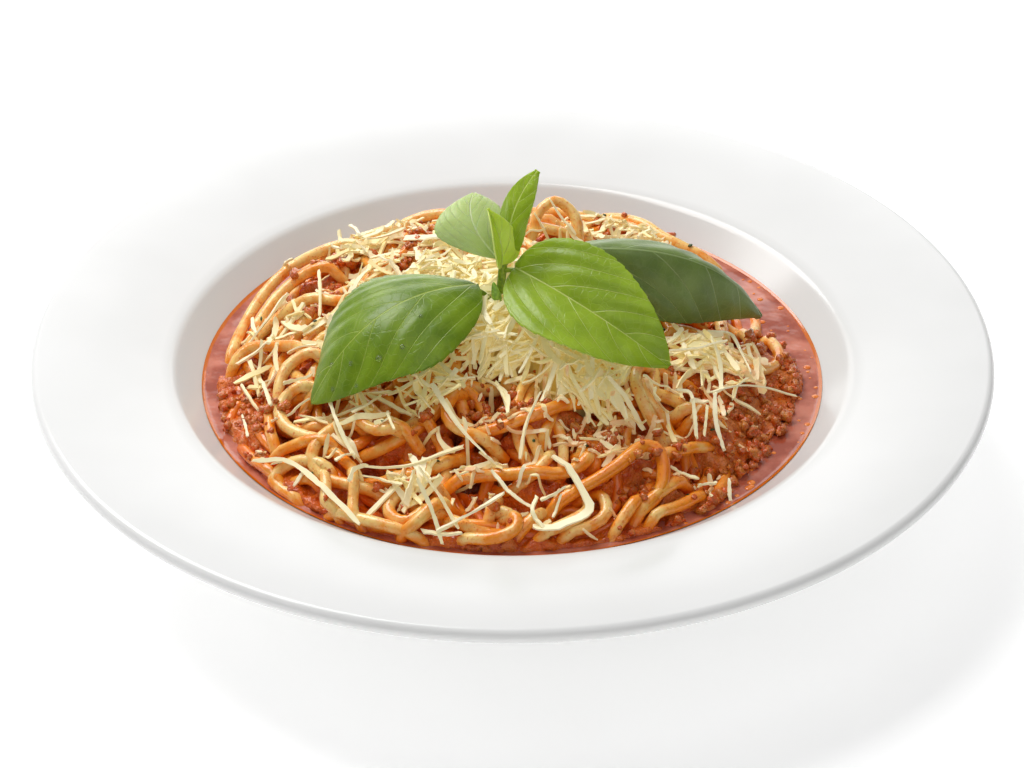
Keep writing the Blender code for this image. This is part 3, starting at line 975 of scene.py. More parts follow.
# ---- the plate and the thin sauce
def rounded(corners: Sequence[tuple], arc_step: float = 5.0) -> list[Vector]:
    """Draws a section through corners, each fillet as an arc.

    Args:
        corners: radius, height and fillet of each corner in mm.
        arc_step: degrees between the points of an arc.

    Returns:
        The section's points.
    """
    path = []
    for index, (x, z, fillet) in enumerate(corners):
        corner = Vector((x, z))
        if fillet == 0.0:
            path.append(corner)
            continue
        before = (Vector(corners[index - 1][:2]) - corner).normalized()
        after = (Vector(corners[index + 1][:2]) - corner).normalized()
        half = before.angle(after) / 2.0
        centre = corner + (before + after).normalized() * (fillet / math.sin(half))
        start = corner + before * (fillet / math.tan(half)) - centre
        sweep = math.copysign(math.pi - 2.0 * half, after.cross(before))
        count = max(2, math.ceil(abs(sweep) / math.radians(arc_step)))
        for step in range(count + 1):
            path.append(centre + Matrix.Rotation(sweep * step / count, 2) @ start)
    return path


def turned(section: Sequence[Vector], name: str, steps: int = 256) -> bpy.types.Mesh:
    """Turns a section round Z.

    Args:
        section: its points in mm, from the axis round to the axis.
        name: the mesh's name.
        steps: how many steps a full turn has.

    Returns:
        The mesh.
    """
    bm = bmesh.new()
    verts = [bm.verts.new((point.x * MM, 0.0, point.y * MM)) for point in section]
    edges = [bm.edges.new(pair) for pair in zip(verts, verts[1:])]
    axis = {"cent": (0.0, 0.0, 0.0), "axis": (0.0, 0.0, 1.0), "dvec": (0.0, 0.0, 0.0)}
    bmesh.ops.spin(bm, geom=verts + edges, angle=math.tau, steps=steps, use_merge=True, **axis)
    bmesh.ops.remove_doubles(bm, verts=bm.verts, dist=1e-6)
    return mesh_from(bm, name)


@dataclass
class PastaPlate:
    """The wide-rimmed plate: its section in mm, as the CAD plate's, with finer arcs."""

    radius: float = 125.0
    well_radius: float = 54.0
    well_floor: float = 8.0
    well_fillet: float = 24.0
    rim_radius: float = 88.3
    rim_inner: float = 35.2
    rim_fillet: float = 5.0
    rim_outer: float = 40.0
    thickness: float = 4.0
    foot_outer: float = 51.0
    foot_inner: float = 45.0
    finish: GlazedPorcelain = GlazedPorcelain()

    def upper_side(self) -> list[tuple]:
        """Lists the corners from the well's centre to the lip.

        Returns:
            Radius, height and fillet of each in mm.
        """
        return [
            (0.0, self.well_floor, 0.0),
            (self.well_radius, self.well_floor, self.well_fillet),
            (self.rim_radius, self.rim_inner, self.rim_fillet),
            (self.radius - self.thickness / 2.0, self.rim_outer, 0.0),
        ]

    def section(self) -> list[Vector]:
        """Draws the whole section, down to the foot ring and the middle.

        Returns:
            The section's points.
        """
        lip = self.thickness / 2.0
        centre = Vector((self.radius - lip, self.rim_outer - lip))
        turns = [math.pi / 2.0 - math.pi * step / 16.0 for step in range(1, 16)]
        edge = [centre + lip * Vector((math.cos(turn), math.sin(turn))) for turn in turns]
        under = [
            (centre.x, self.rim_outer - self.thickness, 0.0),
            (self.rim_radius + 1.8, self.rim_inner - 3.8, 8.0),
            (self.foot_outer + 5.5, 5.0, 3.0),
            (self.foot_outer + 1.2, 3.2, 0.0),
            (self.foot_outer, 0.4, 0.0),
            (self.foot_outer - 0.4, 0.0, 0.0),
            (self.foot_inner + 0.4, 0.0, 0.0),
            (self.foot_inner, 0.4, 0.0),
            (self.foot_inner - 1.4, 3.2, 0.0),
            (0.0, 3.4, 0.0),
        ]
        return rounded(self.upper_side()) + edge + rounded(under)

    def wall_radius(self, height: float) -> float:
        """Measures the well's glaze at a height.

        Args:
            height: the height in mm.

        Returns:
            The radius in mm.
        """
        path = rounded(self.upper_side())
        heights = np.array([point.y for point in path])
        radii = np.array([point.x for point in path])
        return float(np.interp(height, heights[1:], radii[1:]))

    def build(self) -> None:
        """Turns the plate."""
        mesh = turned(self.section(), "plate_glazed")
        add_piece("plate_glazed", mesh, [self.finish.material()], "porcelain", ["plate"], 50.0)


@dataclass
class SaucePool:
    """The thin sauce in the well, to its level, with a meniscus and a line of oil at the wall."""

    plate: PastaPlate
    level: float = 29.2
    meniscus: float = 0.5
    meniscus_width: float = 0.6
    oil_line: float = 0.9
    depth: float = 6.0
    flat_share: float = 0.94
    into_wall: float = 0.35
    finish: ThinSauce = ThinSauce()

    def build(self) -> None:
        """Turns the pool, which reaches just into the wall."""
        wall = self.plate.wall_radius(self.level)
        flat, edge = wall * self.flat_share, wall + self.into_wall
        top = [Vector((wall * step / 24.0 * self.flat_share, self.level)) for step in range(25)]
        for step in range(1, 9):
            radius = flat + (edge - flat) * step / 8.0
            rise = self.meniscus * math.exp(-(edge - radius) / self.meniscus_width)
            top.append(Vector((radius, self.level + rise)))
        low = self.level - self.depth
        bottom = [Vector((self.plate.wall_radius(low) + 0.3, low)), Vector((0.0, low))]
        mesh = turned(top + bottom, "thin_sauce")
        radius = np.hypot(*vertices_of(mesh)[:, :2].T)
        add_attribute(mesh, "rim", smoothstep(wall - self.oil_line, wall - 0.3, radius))
        add_piece("thin_sauce", mesh, [self.finish.material()], "tomato_sauce", ["sauce"], 60.0)


# ---- the noodles
@dataclass
class Noodle:
    """One laid noodle: its centreline in mm, its radius, and how golden and how sauced it is."""

    line: np.ndarray
    radius: float
    tone: float
    sauced: float = 0.0


@dataclass(frozen=True)
class PlacedNoodle:
    """A listed noodle: control points of x, y and lift over the heap, and its looks."""

    points: tuple
    radius: float = 1.5
    tone: float = 0.4
    sauced: float = 0.1


PLACED_NOODLES = table(PlacedNoodle, (
    # the left side, wound along the wall
    (((-38, 44, 2), (-48, 48, 4), (-58, 42, 5), (-65, 34, 4), (-70, 24, 3), (-73, 13, 2),
     (-75, 2, 0)), 1.45, 0.3, 0.0),
    (((-44, 28, 2), (-54, 30, 3), (-61, 26, 3), (-66, 18, 2), (-69, 9, 0)), 1.45, 0.4, 0.1),
    (((-36, -1, 0), (-44, 8, 1), (-52, 12, 2), (-60, 12, 2), (-67, 8, 1), (-71, 2, 0)), 1.55, 0.4, 0.0),
    (((-46, -18, 0), (-54, -9, 1), (-62, -2, 2), (-69, 1, 2), (-73, -3, 1),
     (-74, -8, 0)), 1.5, 0.5, 0.2),
    (((-46, -16, 1), (-54, -14, 1), (-59, -18, 1), (-60, -28, 0)), 1.45, 0.2, 0.0),
    (((-62, -24, 0), (-61, -36, 0), (-58, -45, 0)), 1.45, 0.5, 0.3),
    # loops at the front left
    (((-48, -26, 0), (-56, -27, 1), (-59, -31, 1), (-56, -38, 1), (-49, -43, 0),
     (-44, -41, 0)), 1.5, 0.3, 0.0),
    (((-34, -45, 0), (-41, -40, 1), (-46, -43, 1), (-50, -49, 1), (-46, -55, 1), (-38, -59, 0),
     (-28, -62, 0)), 1.55, 0.4, 0.05),
    (((-48, -45, 0), (-43, -50, 0), (-36, -57, 0)), 1.4, 0.5, 0.3),
    (((-42, -56, 0), (-50, -50, 1), (-57, -48, 1), (-60, -52, 1), (-58, -59, 0),
     (-51, -62, 0)), 1.5, 0.3, 0.0),
    (((-45, -57, 0), (-54, -52, 0), (-56, -56, 0)), 1.4, 0.5, 0.3),
    (((-63, -45, 0), (-59, -43, 0), (-50, -45, 1), (-41, -48, 0)), 1.45, 0.5, 0.3),
    (((-14, -65, 0), (-22, -62, 1), (-29, -64, 1), (-30, -68, 1), (-25, -71, 1),
     (-16, -66, 0)), 1.55, 0.3, 0.05),
    (((-48, -58, 0), (-40, -66, 0), (-30, -71, 0), (-22, -74, 0)), 1.45, 0.3, 0.2),
    (((-28, -72, 0), (-22, -71, 1), (-14, -68, 0)), 1.5, 0.5, 0.1),
    (((-47, -56, 0), (-46, -60, 1), (-47, -64, 0)), 1.4, 0.2, 0.1),
    (((-43, -34, 0), (-38, -35, 1), (-32, -43, 1), (-22, -50, 0)), 1.5, 0.4, 0.1),
    (((-25, -46, 0), (-32, -48, 1), (-38, -43, 1), (-41, -36, 0)), 1.45, 0.4, 0.2),
    # the front
    (((-18, -62, 0), (-6, -60, 1), (6, -62, 1), (15, -60, 1), (19, -56, 0),
     (15, -53, 0)), 1.6, 0.6, 0.35),
    (((-3, -63, 0), (-5, -69, 1), (-7, -74, 0)), 1.45, 0.3, 0.1),
    (((-6, -68, 0), (-1, -71, 1), (0, -74, 0), (-4, -76, 0)), 1.4, 0.2, 0.1),
    (((-18, -69, 0), (-11, -74, 0), (-3, -76, 0), (3, -75, 0)), 1.45, 0.3, 0.15),
    (((17, -62, 0), (22, -64, 1), (23, -69, 1), (18, -73, 1), (9, -76, 0)), 1.5, 0.2, 0.05),
    (((12, -65, 0), (18, -66, 1), (18, -70, 1), (12, -74, 1), (3, -77, 0)), 1.5, 0.3, 0.1),
    (((11, -67, 0), (7, -70, 1), (3, -74, 0), (-2, -77, 0)), 1.5, 0.4, 0.2),
    (((7, -71, 0), (16, -65, 2), (26, -59, 4), (33, -53, 5), (37, -55, 5), (37, -61, 3),
     (33, -66, 1), (27, -68, 0)), 1.6, 0.9, 0.4),
    (((45, -54, 0), (37, -62, 1), (28, -70, 0)), 1.6, 0.6, 0.2),
    (((22, -37, 0), (10, -46, 1), (-2, -49, 1), (-13, -49, 0)), 1.55, 0.5, 0.3),
    (((-10, -36, 0), (-16, -42, 1), (-15, -48, 1), (-8, -52, 1), (-1, -52, 0)), 1.5, 0.4, 0.3),
    # short ends and loops that reach the wall at the front
    (((-48, -63, 0), (-38, -72, 2), (-27, -74, 2), (-17, -76, 0)), 1.45, 0.2, 0.1),
    (((-31, -81, 0), (-25, -75, 3), (-18, -69, 2), (-12, -66, 0)), 1.5, 0.5, 0.2),
    (((-48, -50, 0), (-46, -58, 2), (-46, -66, 2), (-45, -74, 0)), 1.35, 0.2, 0.0),
    (((-40, -52, 0), (-39, -60, 2), (-39, -68, 2), (-37, -75, 0)), 1.35, 0.3, 0.1),
    (((-15, -74, 0), (-8, -78, 2), (0, -77, 2), (1, -73, 1), (-4, -70, 0)), 1.5, 0.2, 0.1),
    (((34, -62, 1), (27, -70, 2), (22, -76, 0)), 1.45, 0.4, 0.2),
    (((50, -55, 0), (43, -62, 2), (35, -68, 1), (31, -71, 0)), 1.45, 0.4, 0.2),
    (((-70, -30, 0), (-67, -38, 1), (-62, -46, 1), (-55, -55, 0)), 1.45, 0.4, 0.3),
    # the right, where noodles come out of the meat sauce
    (((69, 6, 0), (66, -3, 1), (59, -13, 1), (50, -26, 0)), 1.5, 0.3, 0.3),
    (((58, -37, 0), (54, -35, 1), (48, -37, 1), (41, -39, 0)), 1.6, 0.3, 0.15),
    (((53, -41, 0), (44, -48, 1), (33, -55, 0)), 1.5, 0.5, 0.25),
    (((32, -26, 0), (34, -36, 1), (41, -42, 0)), 1.45, 0.3, 0.15),
    (((52, -16, 1), (60, -12, 4), (67, -6, 5), (70, 2, 5), (69, 10, 3), (64, 15, 0)), 1.5, 0.2, 0.0),
    (((48, -8, 1), (56, -7, 2), (61, -2, 3), (62, 6, 2), (58, 13, 1)), 1.5, 0.4, 0.0),
    (((38, -36, 0), (44, -36, 2), (51, -36, 2), (57, -38, 1)), 1.55, 0.3, 0.0),
    (((37, -22, 0), (32, -28, 2), (31, -34, 2), (34, -41, 2), (39, -47, 0)), 1.5, 0.3, 0.1),
    # along the back
    (((-54, 46, 1), (-44, 54, 2), (-34, 58, 2), (-26, 57, 0)), 1.45, 0.3, 0.0),
    (((-38, 62, 0), (-24, 67, 1), (-10, 69, 2), (0, 66, 0)), 1.45, 0.4, 0.1),
    (((-12, 60, 1), (-2, 66, 3), (12, 67, 4), (26, 63, 2)), 1.45, 0.5, 0.1),
    (((8, 72, 0), (20, 70, 2), (32, 63, 2), (38, 55, 0)), 1.45, 0.4, 0.1),
    (((-36, 64, 0), (-22, 66, 2), (-10, 62, 3), (2, 58, 2), (16, 56, 1)), 1.5, 0.2, 0.1),
    (((20, 74, 0), (32, 66, 3), (42, 56, 3), (52, 50, 2), (60, 44, 0)), 1.5, 0.4, 0.1),
    (((1, 40, 0), (8, 37, 3), (16, 37, 3), (24, 41, 1)), 1.45, 0.3, 0.1),
    # the loop that stands up at the back
    (((5, 34, 0), (7, 39, 6), (12, 42, 11), (17, 39, 7), (18, 32, 0)), 1.4, 0.3, 0.0),
))


@dataclass
class NoodleHeap:
    """The heap of spaghetti: loose noodles wound over a smaller core until the heap is full.

    Lengths are in mm. A boiled noodle is swollen past the radius that its table gives.
    """

    top: Relief
    outline: Outline
    floor: float
    seed: int = 11
    step: float = 0.8
    core_depth: float = 12.0
    metres: float = 18.0
    tries: int = 600
    candidates: int = 14
    length: tuple = (60, 190)
    least_room: float = 1.7
    enough_room: float = 4.5
    look_ahead: float = 7.0
    tightest_turn: float = 0.26
    slack: float = 0.7
    limit: float = 78.4
    thickness: tuple = (1.35, 1.75)
    swollen: float = 1.07
    finish: SaucedPasta = SaucedPasta()
    noodles: list = field(default_factory=list)
    relief: Relief = field(init=False)
    filled: Relief = field(init=False)
    rng: np.random.Generator = field(init=False)

    def __post_init__(self) -> None:
        """Sets the core, and how high loose noodles may lie: lower in the hollows."""
        self.rng = np.random.default_rng(self.seed)
        self.relief = Relief(np.maximum(self.top.heights - self.core_depth, self.floor))
        hollow = 0.45 * gathered(HOLLOWS, self.top.places())
        self.filled = Relief(self.top.heights - self.slack - hollow)

    def wander(self, count: int, steps: int) -> np.ndarray:
        """Draws candidate routes that wind about inside the outline.

        Args:
            count: how many routes.
            steps: how many steps each is long.

        Returns:
            Their places: count x steps x 2.
        """
        rng = self.rng
        bearing = rng.uniform(0.0, math.tau, count)
        reach = self.outline.at(polar(1.0, bearing))
        place = polar(reach * np.sqrt(rng.uniform(0.0, 0.95, count)), bearing)
        heading = bearing + math.pi / 2.0 + rng.normal(0.0, 0.9, count)
        bias = rng.normal(0.0, 0.05, count)
        curl = bias.copy()
        routes = np.empty((count, steps, 2))
        for index in range(steps):
            routes[:, index] = place
            curl += 0.04 * (bias - curl) + rng.normal(0.0, 0.012, count)
            inside = self.outline.margin(place + polar(self.look_ahead, heading))
            inwards = np.arctan2(-place[:, 1], -place[:, 0]) - heading
            side = np.sign(np.sin(inwards))
            turn = np.where(inside < 3.0, side * 0.16 * np.clip(1.5 - inside / 3.0, 0.3, 1.6), curl)
            turn = np.clip(turn, -self.tightest_turn, self.tightest_turn)
            heading = heading + turn * self.step
            place = place + polar(self.step, heading)
        return routes

    def settle(self, route: np.ndarray, radius: float) -> np.ndarray:
        """Rests a noodle: it bridges gaps and lies on what is high.

        Args:
            route: its places in mm.
            radius: its radius in mm.

        Returns:
            Heights of its centre in mm.
        """
        rest = self.relief.rest(route, radius)
        height = rest.copy()
        for _ in range(4):
            height = np.maximum(rest, softened(height, 3.0 / self.step))
        return softened(height, 1.0 / self.step)

    def keep(self, line: np.ndarray, radius: float, tone: float, sauced: float) -> None:
        """Lays a noodle for good."""
        self.relief.press(line, radius)
        self.noodles.append(Noodle(line, radius, tone, sauced))

    def wind(self) -> None:
        """Lays loose noodles, each where the most room is left under the heap's surface."""
        laid = 0.0
        for _ in range(self.tries):
            steps = int(self.rng.uniform(*self.length) / self.step)
            routes = self.wander(self.candidates, steps)
            room = self.filled.at(routes) - self.relief.at(routes)
            inside = self.outline.margin(routes).min(1)
            score = np.minimum(room, self.enough_room).mean(1) + 0.25 * np.minimum(inside, 1.0)
            route = routes[int(np.argmax(score))]
            if score.max() < self.least_room or laid > self.metres * 1000.0:
                break
            radius = self.rng.uniform(*self.thickness)
            bundle = int(self.rng.choice([1, 1, 2, 2, 3]))
            tone, sauced = self.rng.uniform(0.0, 0.8), self.rng.uniform(0.0, 0.3)
            for member in range(bundle):
                laid += self.lay_beside(route, member, radius, tone, sauced)
        log.info("%d loose noodles: %.1f m", len(self.noodles), laid / 1000.0)

    def lay_beside(
        self, route: np.ndarray, member: int, radius: float, tone: float, sauced: float
    ) -> float:
        """Lays one noodle of a bundle, beside its route.

        Args:
            route: the bundle's route.
            member: 0 on the route, 1 to its left, 2 to its right.
            radius: the noodle's radius in mm.
            tone: how golden it is.
            sauced: how much more sauce it carries.

        Returns:
            The length laid, in mm.
        """
        apart = 2.08 * radius
        offset = (0.0, apart, -apart)[member]
        along = directions(route)
        aside = np.stack([-along[:, 1], along[:, 0]], 1)
        drift = softened(self.rng.normal(0.0, 4.0, len(route)), 12.0 / self.step)
        route = softened(route + aside * (offset + drift[:, None] * (member > 0)), 1.5)
        trim = int(self.rng.uniform(0, 10)) * (member > 0)
        route = route[trim : len(route) - trim]
        margin = self.outline.margin(route)
        route = route * np.minimum(1.0, 1.0 + (margin - 0.8) / np.hypot(*route.T))[:, None]
        height = self.settle(route, radius)
        ceiling = self.filled.at(route) - radius
        if (height - ceiling).mean() > 0.2:
            return 0.0
        height = self.sunk_ends(np.minimum(height, ceiling + 0.6), 3.2, 7.0)
        self.keep(np.column_stack([route, height]), radius, tone, sauced)
        return (len(route) - 1) * self.step

    def sunk_ends(self, height: np.ndarray, drop: float, reach: float) -> np.ndarray:
        """Lowers a noodle's heights by drop at its ends, which go under within reach."""
        run = np.arange(len(height)) * self.step
        return height - drop * (1.0 - smoothstep(0.0, reach, np.minimum(run, run[-1] - run)))

    def place_by_hand(self) -> None:
        """Lays the noodles whose loops and arches give the heap its look."""
        for placed in PLACED_NOODLES:
            line = spline_through(placed.points, self.step)
            route, lift = line[:, :2], line[:, 2]
            radius = self.swollen * placed.radius
            route = route * np.minimum(1.0, self.limit / np.hypot(*route.T))[:, None]
            wanted = self.top.at(route) - radius + lift
            rest = self.relief.rest(route, radius)
            height = np.maximum(wanted, np.minimum(rest, wanted + 2.5))
            for _ in range(3):
                height = np.maximum(height, softened(height, 2.5 / self.step))
            height = self.sunk_ends(softened(height, 1.6 / self.step), 5.0, 6.0)
            self.keep(np.column_stack([route, height]), radius, placed.tone, placed.sauced)

    def hand_laid(self) -> Relief:
        """Marks the listed noodles, which the sauce leaves bare.

        Returns:
            A relief above 0 over them.
        """
        cover = Relief(np.zeros((Relief.COUNT, Relief.COUNT)))
        for noodle in self.noodles[-len(PLACED_NOODLES) :]:
            cover.press(noodle.line * (1.0, 1.0, 0.0), noodle.radius + 0.2)
        return cover

    def thinned(self, line: np.ndarray) -> np.ndarray:
        """Leaves out points where a centreline runs straight.

        Args:
            line: the centreline in mm.

        Returns:
            Its samples in mm, further apart.
        """
        step = np.diff(line, axis=0)
        length = np.linalg.norm(step, axis=1)
        unit = step / length[:, None]
        bend = np.linalg.norm(np.diff(unit, axis=0), axis=1) / length[1:]
        bend = softened(np.concatenate([bend[:1], bend, bend[-1:], bend[-1:]])[: len(line)], 2.0)
        spacing = np.clip(0.42 / np.maximum(bend, 1e-3), 0.9, 2.6)
        run = np.concatenate([[0.0], np.cumsum(length / spacing[1:])])
        at = np.linspace(0.0, run[-1], max(4, int(run[-1]) + 1))
        return np.stack([np.interp(at, run, column) for column in line.T], 1)

    def build(self) -> None:
        """Sweeps every noodle as a round tube with closed ends, and joins them."""
        lines, radii = [], []
        for noodle in self.noodles:
            line = self.thinned(noodle.line)
            wobble = 1.0 + 0.04 * np.sin(np.arange(len(line)) * 0.9 + noodle.tone * 40.0)
            wobble[[0, -1]] *= 0.72
            lines.append(line)
            radii.append(noodle.radius * wobble)
        mesh, owner = swept_tubes(lines, radii, "noodles", 3)
        add_attribute(mesh, "tone", np.array([n.tone for n in self.noodles])[owner])
        points = vertices_of(mesh)
        # sauce share by depth under the blurred crest: sauce gathers low on the noodles, and the darker
        # orange there is also painted shade in the crevices
        crest = self.relief.blurred(2.2).at(points[:, :2])
        depth = np.clip((crest - points[:, 2]) / 4.6, -0.15, 1.0) + 0.10
        extra = np.array([n.sauced for n in self.noodles])[owner]
        rich = 0.30 * np.minimum(gathered(MINCE_SPOTS, points[:, :2]), 1.0)
        low = 0.35 * (1.0 - smoothstep(29.5, 33.0, points[:, 2]))
        add_attribute(mesh, "sauce", np.clip(depth + extra + low + rich, 0.0, 1.4))
        add_piece("spaghetti", mesh, [self.finish.material()], "pasta", ["spaghetti"], 60.0)


# ---- sauce and mince between the noodles
@dataclass
class CookedSauceBed:
    """The core of the heap: sauce and mince between the noodles, as one closed lumpy piece."""

    relief: Relief
    meat_top: Relief
    outline: Outline
    clear: Relief
    seed: int = 5
    sunk: float = 3.1
    skirt: float = 24.0
    inset: float = 0.97
    overlap: float = 0.4
    meat_level: float = 29.3
    spread: float = 29.9
    fine: int = 421
    lumps: tuple = (15000, (0.7, 1.5), 0.62)
    grains: tuple = (26000, (0.35, 0.7), 0.45)
    brim_from: tuple = (174.0, 184.0)
    brim_to: tuple = (306.0, 320.0)
    brim_wider: tuple = (205.0, 222.0)
    brim_reach: tuple = (77.8, 1.6)
    finish: CookedSauce = CookedSauce()

    def brim(self, places: np.ndarray) -> np.ndarray:
        """Spreads the sauce to the plate's wall, along the front and the left.

        Args:
            places: x and y in mm, in the last axis.

        Returns:
            1 where it is and 0 elsewhere, with a fade between.
        """
        bearing = np.degrees(np.arctan2(places[..., 1], places[..., 0])) % 360.0
        along = smoothstep(*self.brim_from, bearing) * (1.0 - smoothstep(*self.brim_to, bearing))
        reach = self.brim_reach[0] + self.brim_reach[1] * smoothstep(*self.brim_wider, bearing)
        within = 1.0 - smoothstep(reach - 1.0, reach, np.hypot(places[..., 0], places[..., 1]))
        return along * within

    def surface(self) -> tuple[Relief, Relief]:
        """Works out the upper side.

        Returns:
            The side with its lumps, and the same side as smooth sauce.
        """
        rng = np.random.default_rng(self.seed)
        places = self.relief.places()
        rich = np.minimum(gathered(MINCE_SPOTS, places), 1.25)
        sunk = self.sunk - 1.5 * rich - 0.6 * Relief.swells(rng, 2.6).heights
        sunk += 0.4 * gathered(HOLLOWS, places) + 1.1 * (self.clear.heights > 0.0)
        smooth = self.relief.blurred(1.3)
        smooth.heights = np.minimum(smooth.heights, self.relief.heights + 1.2) - np.maximum(sunk, -0.2)
        smooth.heights = np.maximum(smooth.heights, self.meat_top.heights - 1.6)
        brim = self.spread + 0.7 * Relief.swells(rng, 1.8).heights
        brim = self.skirt + (brim - self.skirt) * self.brim(places)
        smooth.heights = np.maximum(smooth.heights, brim)
        smooth = smooth.refined(self.fine)
        rough = Relief(smooth.heights.copy())
        for count, size, out in (self.lumps, self.grains):
            spots = rng.uniform(-80.0, 80.0, (count, 2))
            spots = spots[rng.uniform(0.0, 1.0, count) < 0.35 + gathered(MINCE_SPOTS, spots)]
            radii = np.round(rng.uniform(*size, len(spots)), 1)
            base = rough.at(spots)
            for radius in np.unique(radii):
                some = radii == radius
                balls = np.column_stack([spots[some], base[some] - (1.0 - out) * radius])
                rough.press(balls, float(radius))
        return rough, smooth

    def build(self) -> None:
        """Cuts the bed from a grid, gives it its relief and closes it underneath."""
        rough, smooth = self.surface()
        rough = rough.blurred(0.28)

        def shape(places: np.ndarray) -> tuple[np.ndarray, np.ndarray]:
            """Tells the bed's heights and its extent.

            Args:
                places: x and y in mm, a row for each.

            Returns:
                The heights in mm, and which places are in the heap, the meat sauce or the brim.
            """
            inside = self.outline.margin(places) > -self.overlap
            inside |= (self.meat_top.at(places) > self.meat_level) | (self.brim(places) > 0.0)
            return np.maximum(rough.at(places), self.skirt + 1.0), inside

        def skirt(place: Vector) -> Vector:
            """The foot of the bed's edge, a little further in."""
            return Vector((place.x * self.inset, place.y * self.inset, self.skirt * MM))

        mesh = closed_grid(79.5, 350, (0.0, 0.0), shape, skirt, "cooked_sauce")
        points = vertices_of(mesh)
        # painted shade: depth under the noodles' crest, away from the mince, darkens the sauce towards
        # nearly black
        crest = self.relief.blurred(3.0).at(points[:, :2])
        bare = 1.0 - smoothstep(0.5, 1.1, gathered(MINCE_SPOTS, points[:, :2]))
        add_attribute(mesh, "depth", 0.8 * bare * smoothstep(3.0, 7.5, crest - points[:, 2]))
        lump = np.clip((points[:, 2] - smooth.at(points[:, :2])) / 1.3, 0.0, 1.0)
        add_attribute(mesh, "lump", lump * np.minimum(0.35 + gathered(MINCE_SPOTS, points[:, :2]), 1.0))
        raised = rough.at(self.relief.places())
        self.relief.heights = np.maximum(self.relief.heights, raised)
        add_piece("cooked_sauce_bed", mesh, [self.finish.material()], "tomato_sauce")


@dataclass
class MinceCrumbs:
    """Loose crumbs of mince on the sauce and the noodles, many of them stuck in clumps."""

    relief: Relief
    outline: Outline
    clear: Relief
    clumps: int = 600
    tries: int = 14
    largest_clump: int = 7
    clump_spread: float = 1.15
    half_side: float = 78.0
    right_edge: float = 74.0
    left_edge: float = 76.0
    seed: int = 23
    size: tuple = (0.4, 1.4)
    sunk: float = 0.95
    finish: SimmeredMince = SimmeredMince()

    def places(self, rng: np.random.Generator) -> np.ndarray:
        """Draws where crumbs fall: in clumps, and thickest where the mince was spooned.

        Args:
            rng: the draws.

        Returns:
            Their places in mm.
        """
        middles = rng.uniform(-self.half_side, self.half_side, (self.clumps * self.tries, 2))
        chance = np.minimum(0.03 + 0.9 * gathered(MINCE_SPOTS, middles), 1.0)
        middles = middles[rng.uniform(0.0, 1.0, len(middles)) < chance][: self.clumps]
        members = rng.integers(1, self.largest_clump + 1, len(middles))
        strewn = rng.normal(0.0, self.clump_spread, (members.sum(), 2))
        places = np.repeat(middles, members, 0) + strewn
        sides = np.where(places[:, 0] > 40.0, self.right_edge, 0.0)
        sides = np.where(places[:, 0] < -56.0, self.left_edge, sides)
        edge = np.maximum(self.outline.at(places) - 0.5, sides)
        places = places * np.minimum(1.0, edge / np.hypot(*places.T))[:, None]
        bare = (self.clear.at(places) > 0.0) & (rng.uniform(0.0, 1.0, len(places)) < 0.85)
        return places[~bare]

    def build(self) -> None:
        """Makes each crumb a knobbly ball of its own shape and joins them."""
        rng = np.random.default_rng(self.seed)
        mould, ball = mould_from(bmesh.ops.create_icosphere, subdivisions=2, radius=1.0)
        places = self.places(rng)
        count = len(places)
        small, large = self.size
        size = rng.uniform(0.0, 1.0, count) ** 1.8 * (large - small) + small
        knobs = rng.normal(0.0, 1.0, (count, 3, 4))
        lumps = 1.0 + 0.17 * np.sin(3.2 * np.einsum("vk,nkm->nvm", ball, knobs)).sum(2)
        lumps += rng.normal(0.0, 0.05, lumps.shape)
        stretch = rng.uniform(0.75, 1.35, (count, 1, 3))
        corners = ball[None] * lumps[..., None] * stretch * size[:, None, None]
        turn = np.linalg.qr(rng.normal(0.0, 1.0, (count, 3, 3)))[0]
        corners = np.einsum("nvk,nkm->nvm", corners, turn)
        height = np.empty(count)
        for index in range(count):
            place = places[index : index + 1]
            height[index] = self.relief.rest(place, float(size[index]))[0] - self.sunk * size[index]
        centres = np.column_stack([places, height])
        corners += centres[:, None, :]
        for centre, radius in zip(centres, size):
            self.relief.press(centre, 0.8 * float(radius))
        mesh = joined_copies(mould, corners, "mince_crumbs")
        bm = bmesh.new()
        bm.from_mesh(mesh)
        bmesh.ops.recalc_face_normals(bm, faces=bm.faces)
        bm.to_mesh(mesh)
        bm.free()
        add_attribute(mesh, "tone", np.repeat(rng.uniform(0.0, 1.0, count), len(ball)))
        add_piece("mince_crumbs", mesh, [self.finish.material()], "meat_sauce", ["meat_sauce"])


# ---- cheese
@dataclass(frozen=True)
class Drift:
    """A drift of grated cheese: centre and reach in mm, shreds, and their length and width."""

    x: float
    y: float
    reach: float
    count: int
    length: tuple = (6.0, 16.0)
    width: tuple = (0.9, 1.7)
    soak: float = 0.1


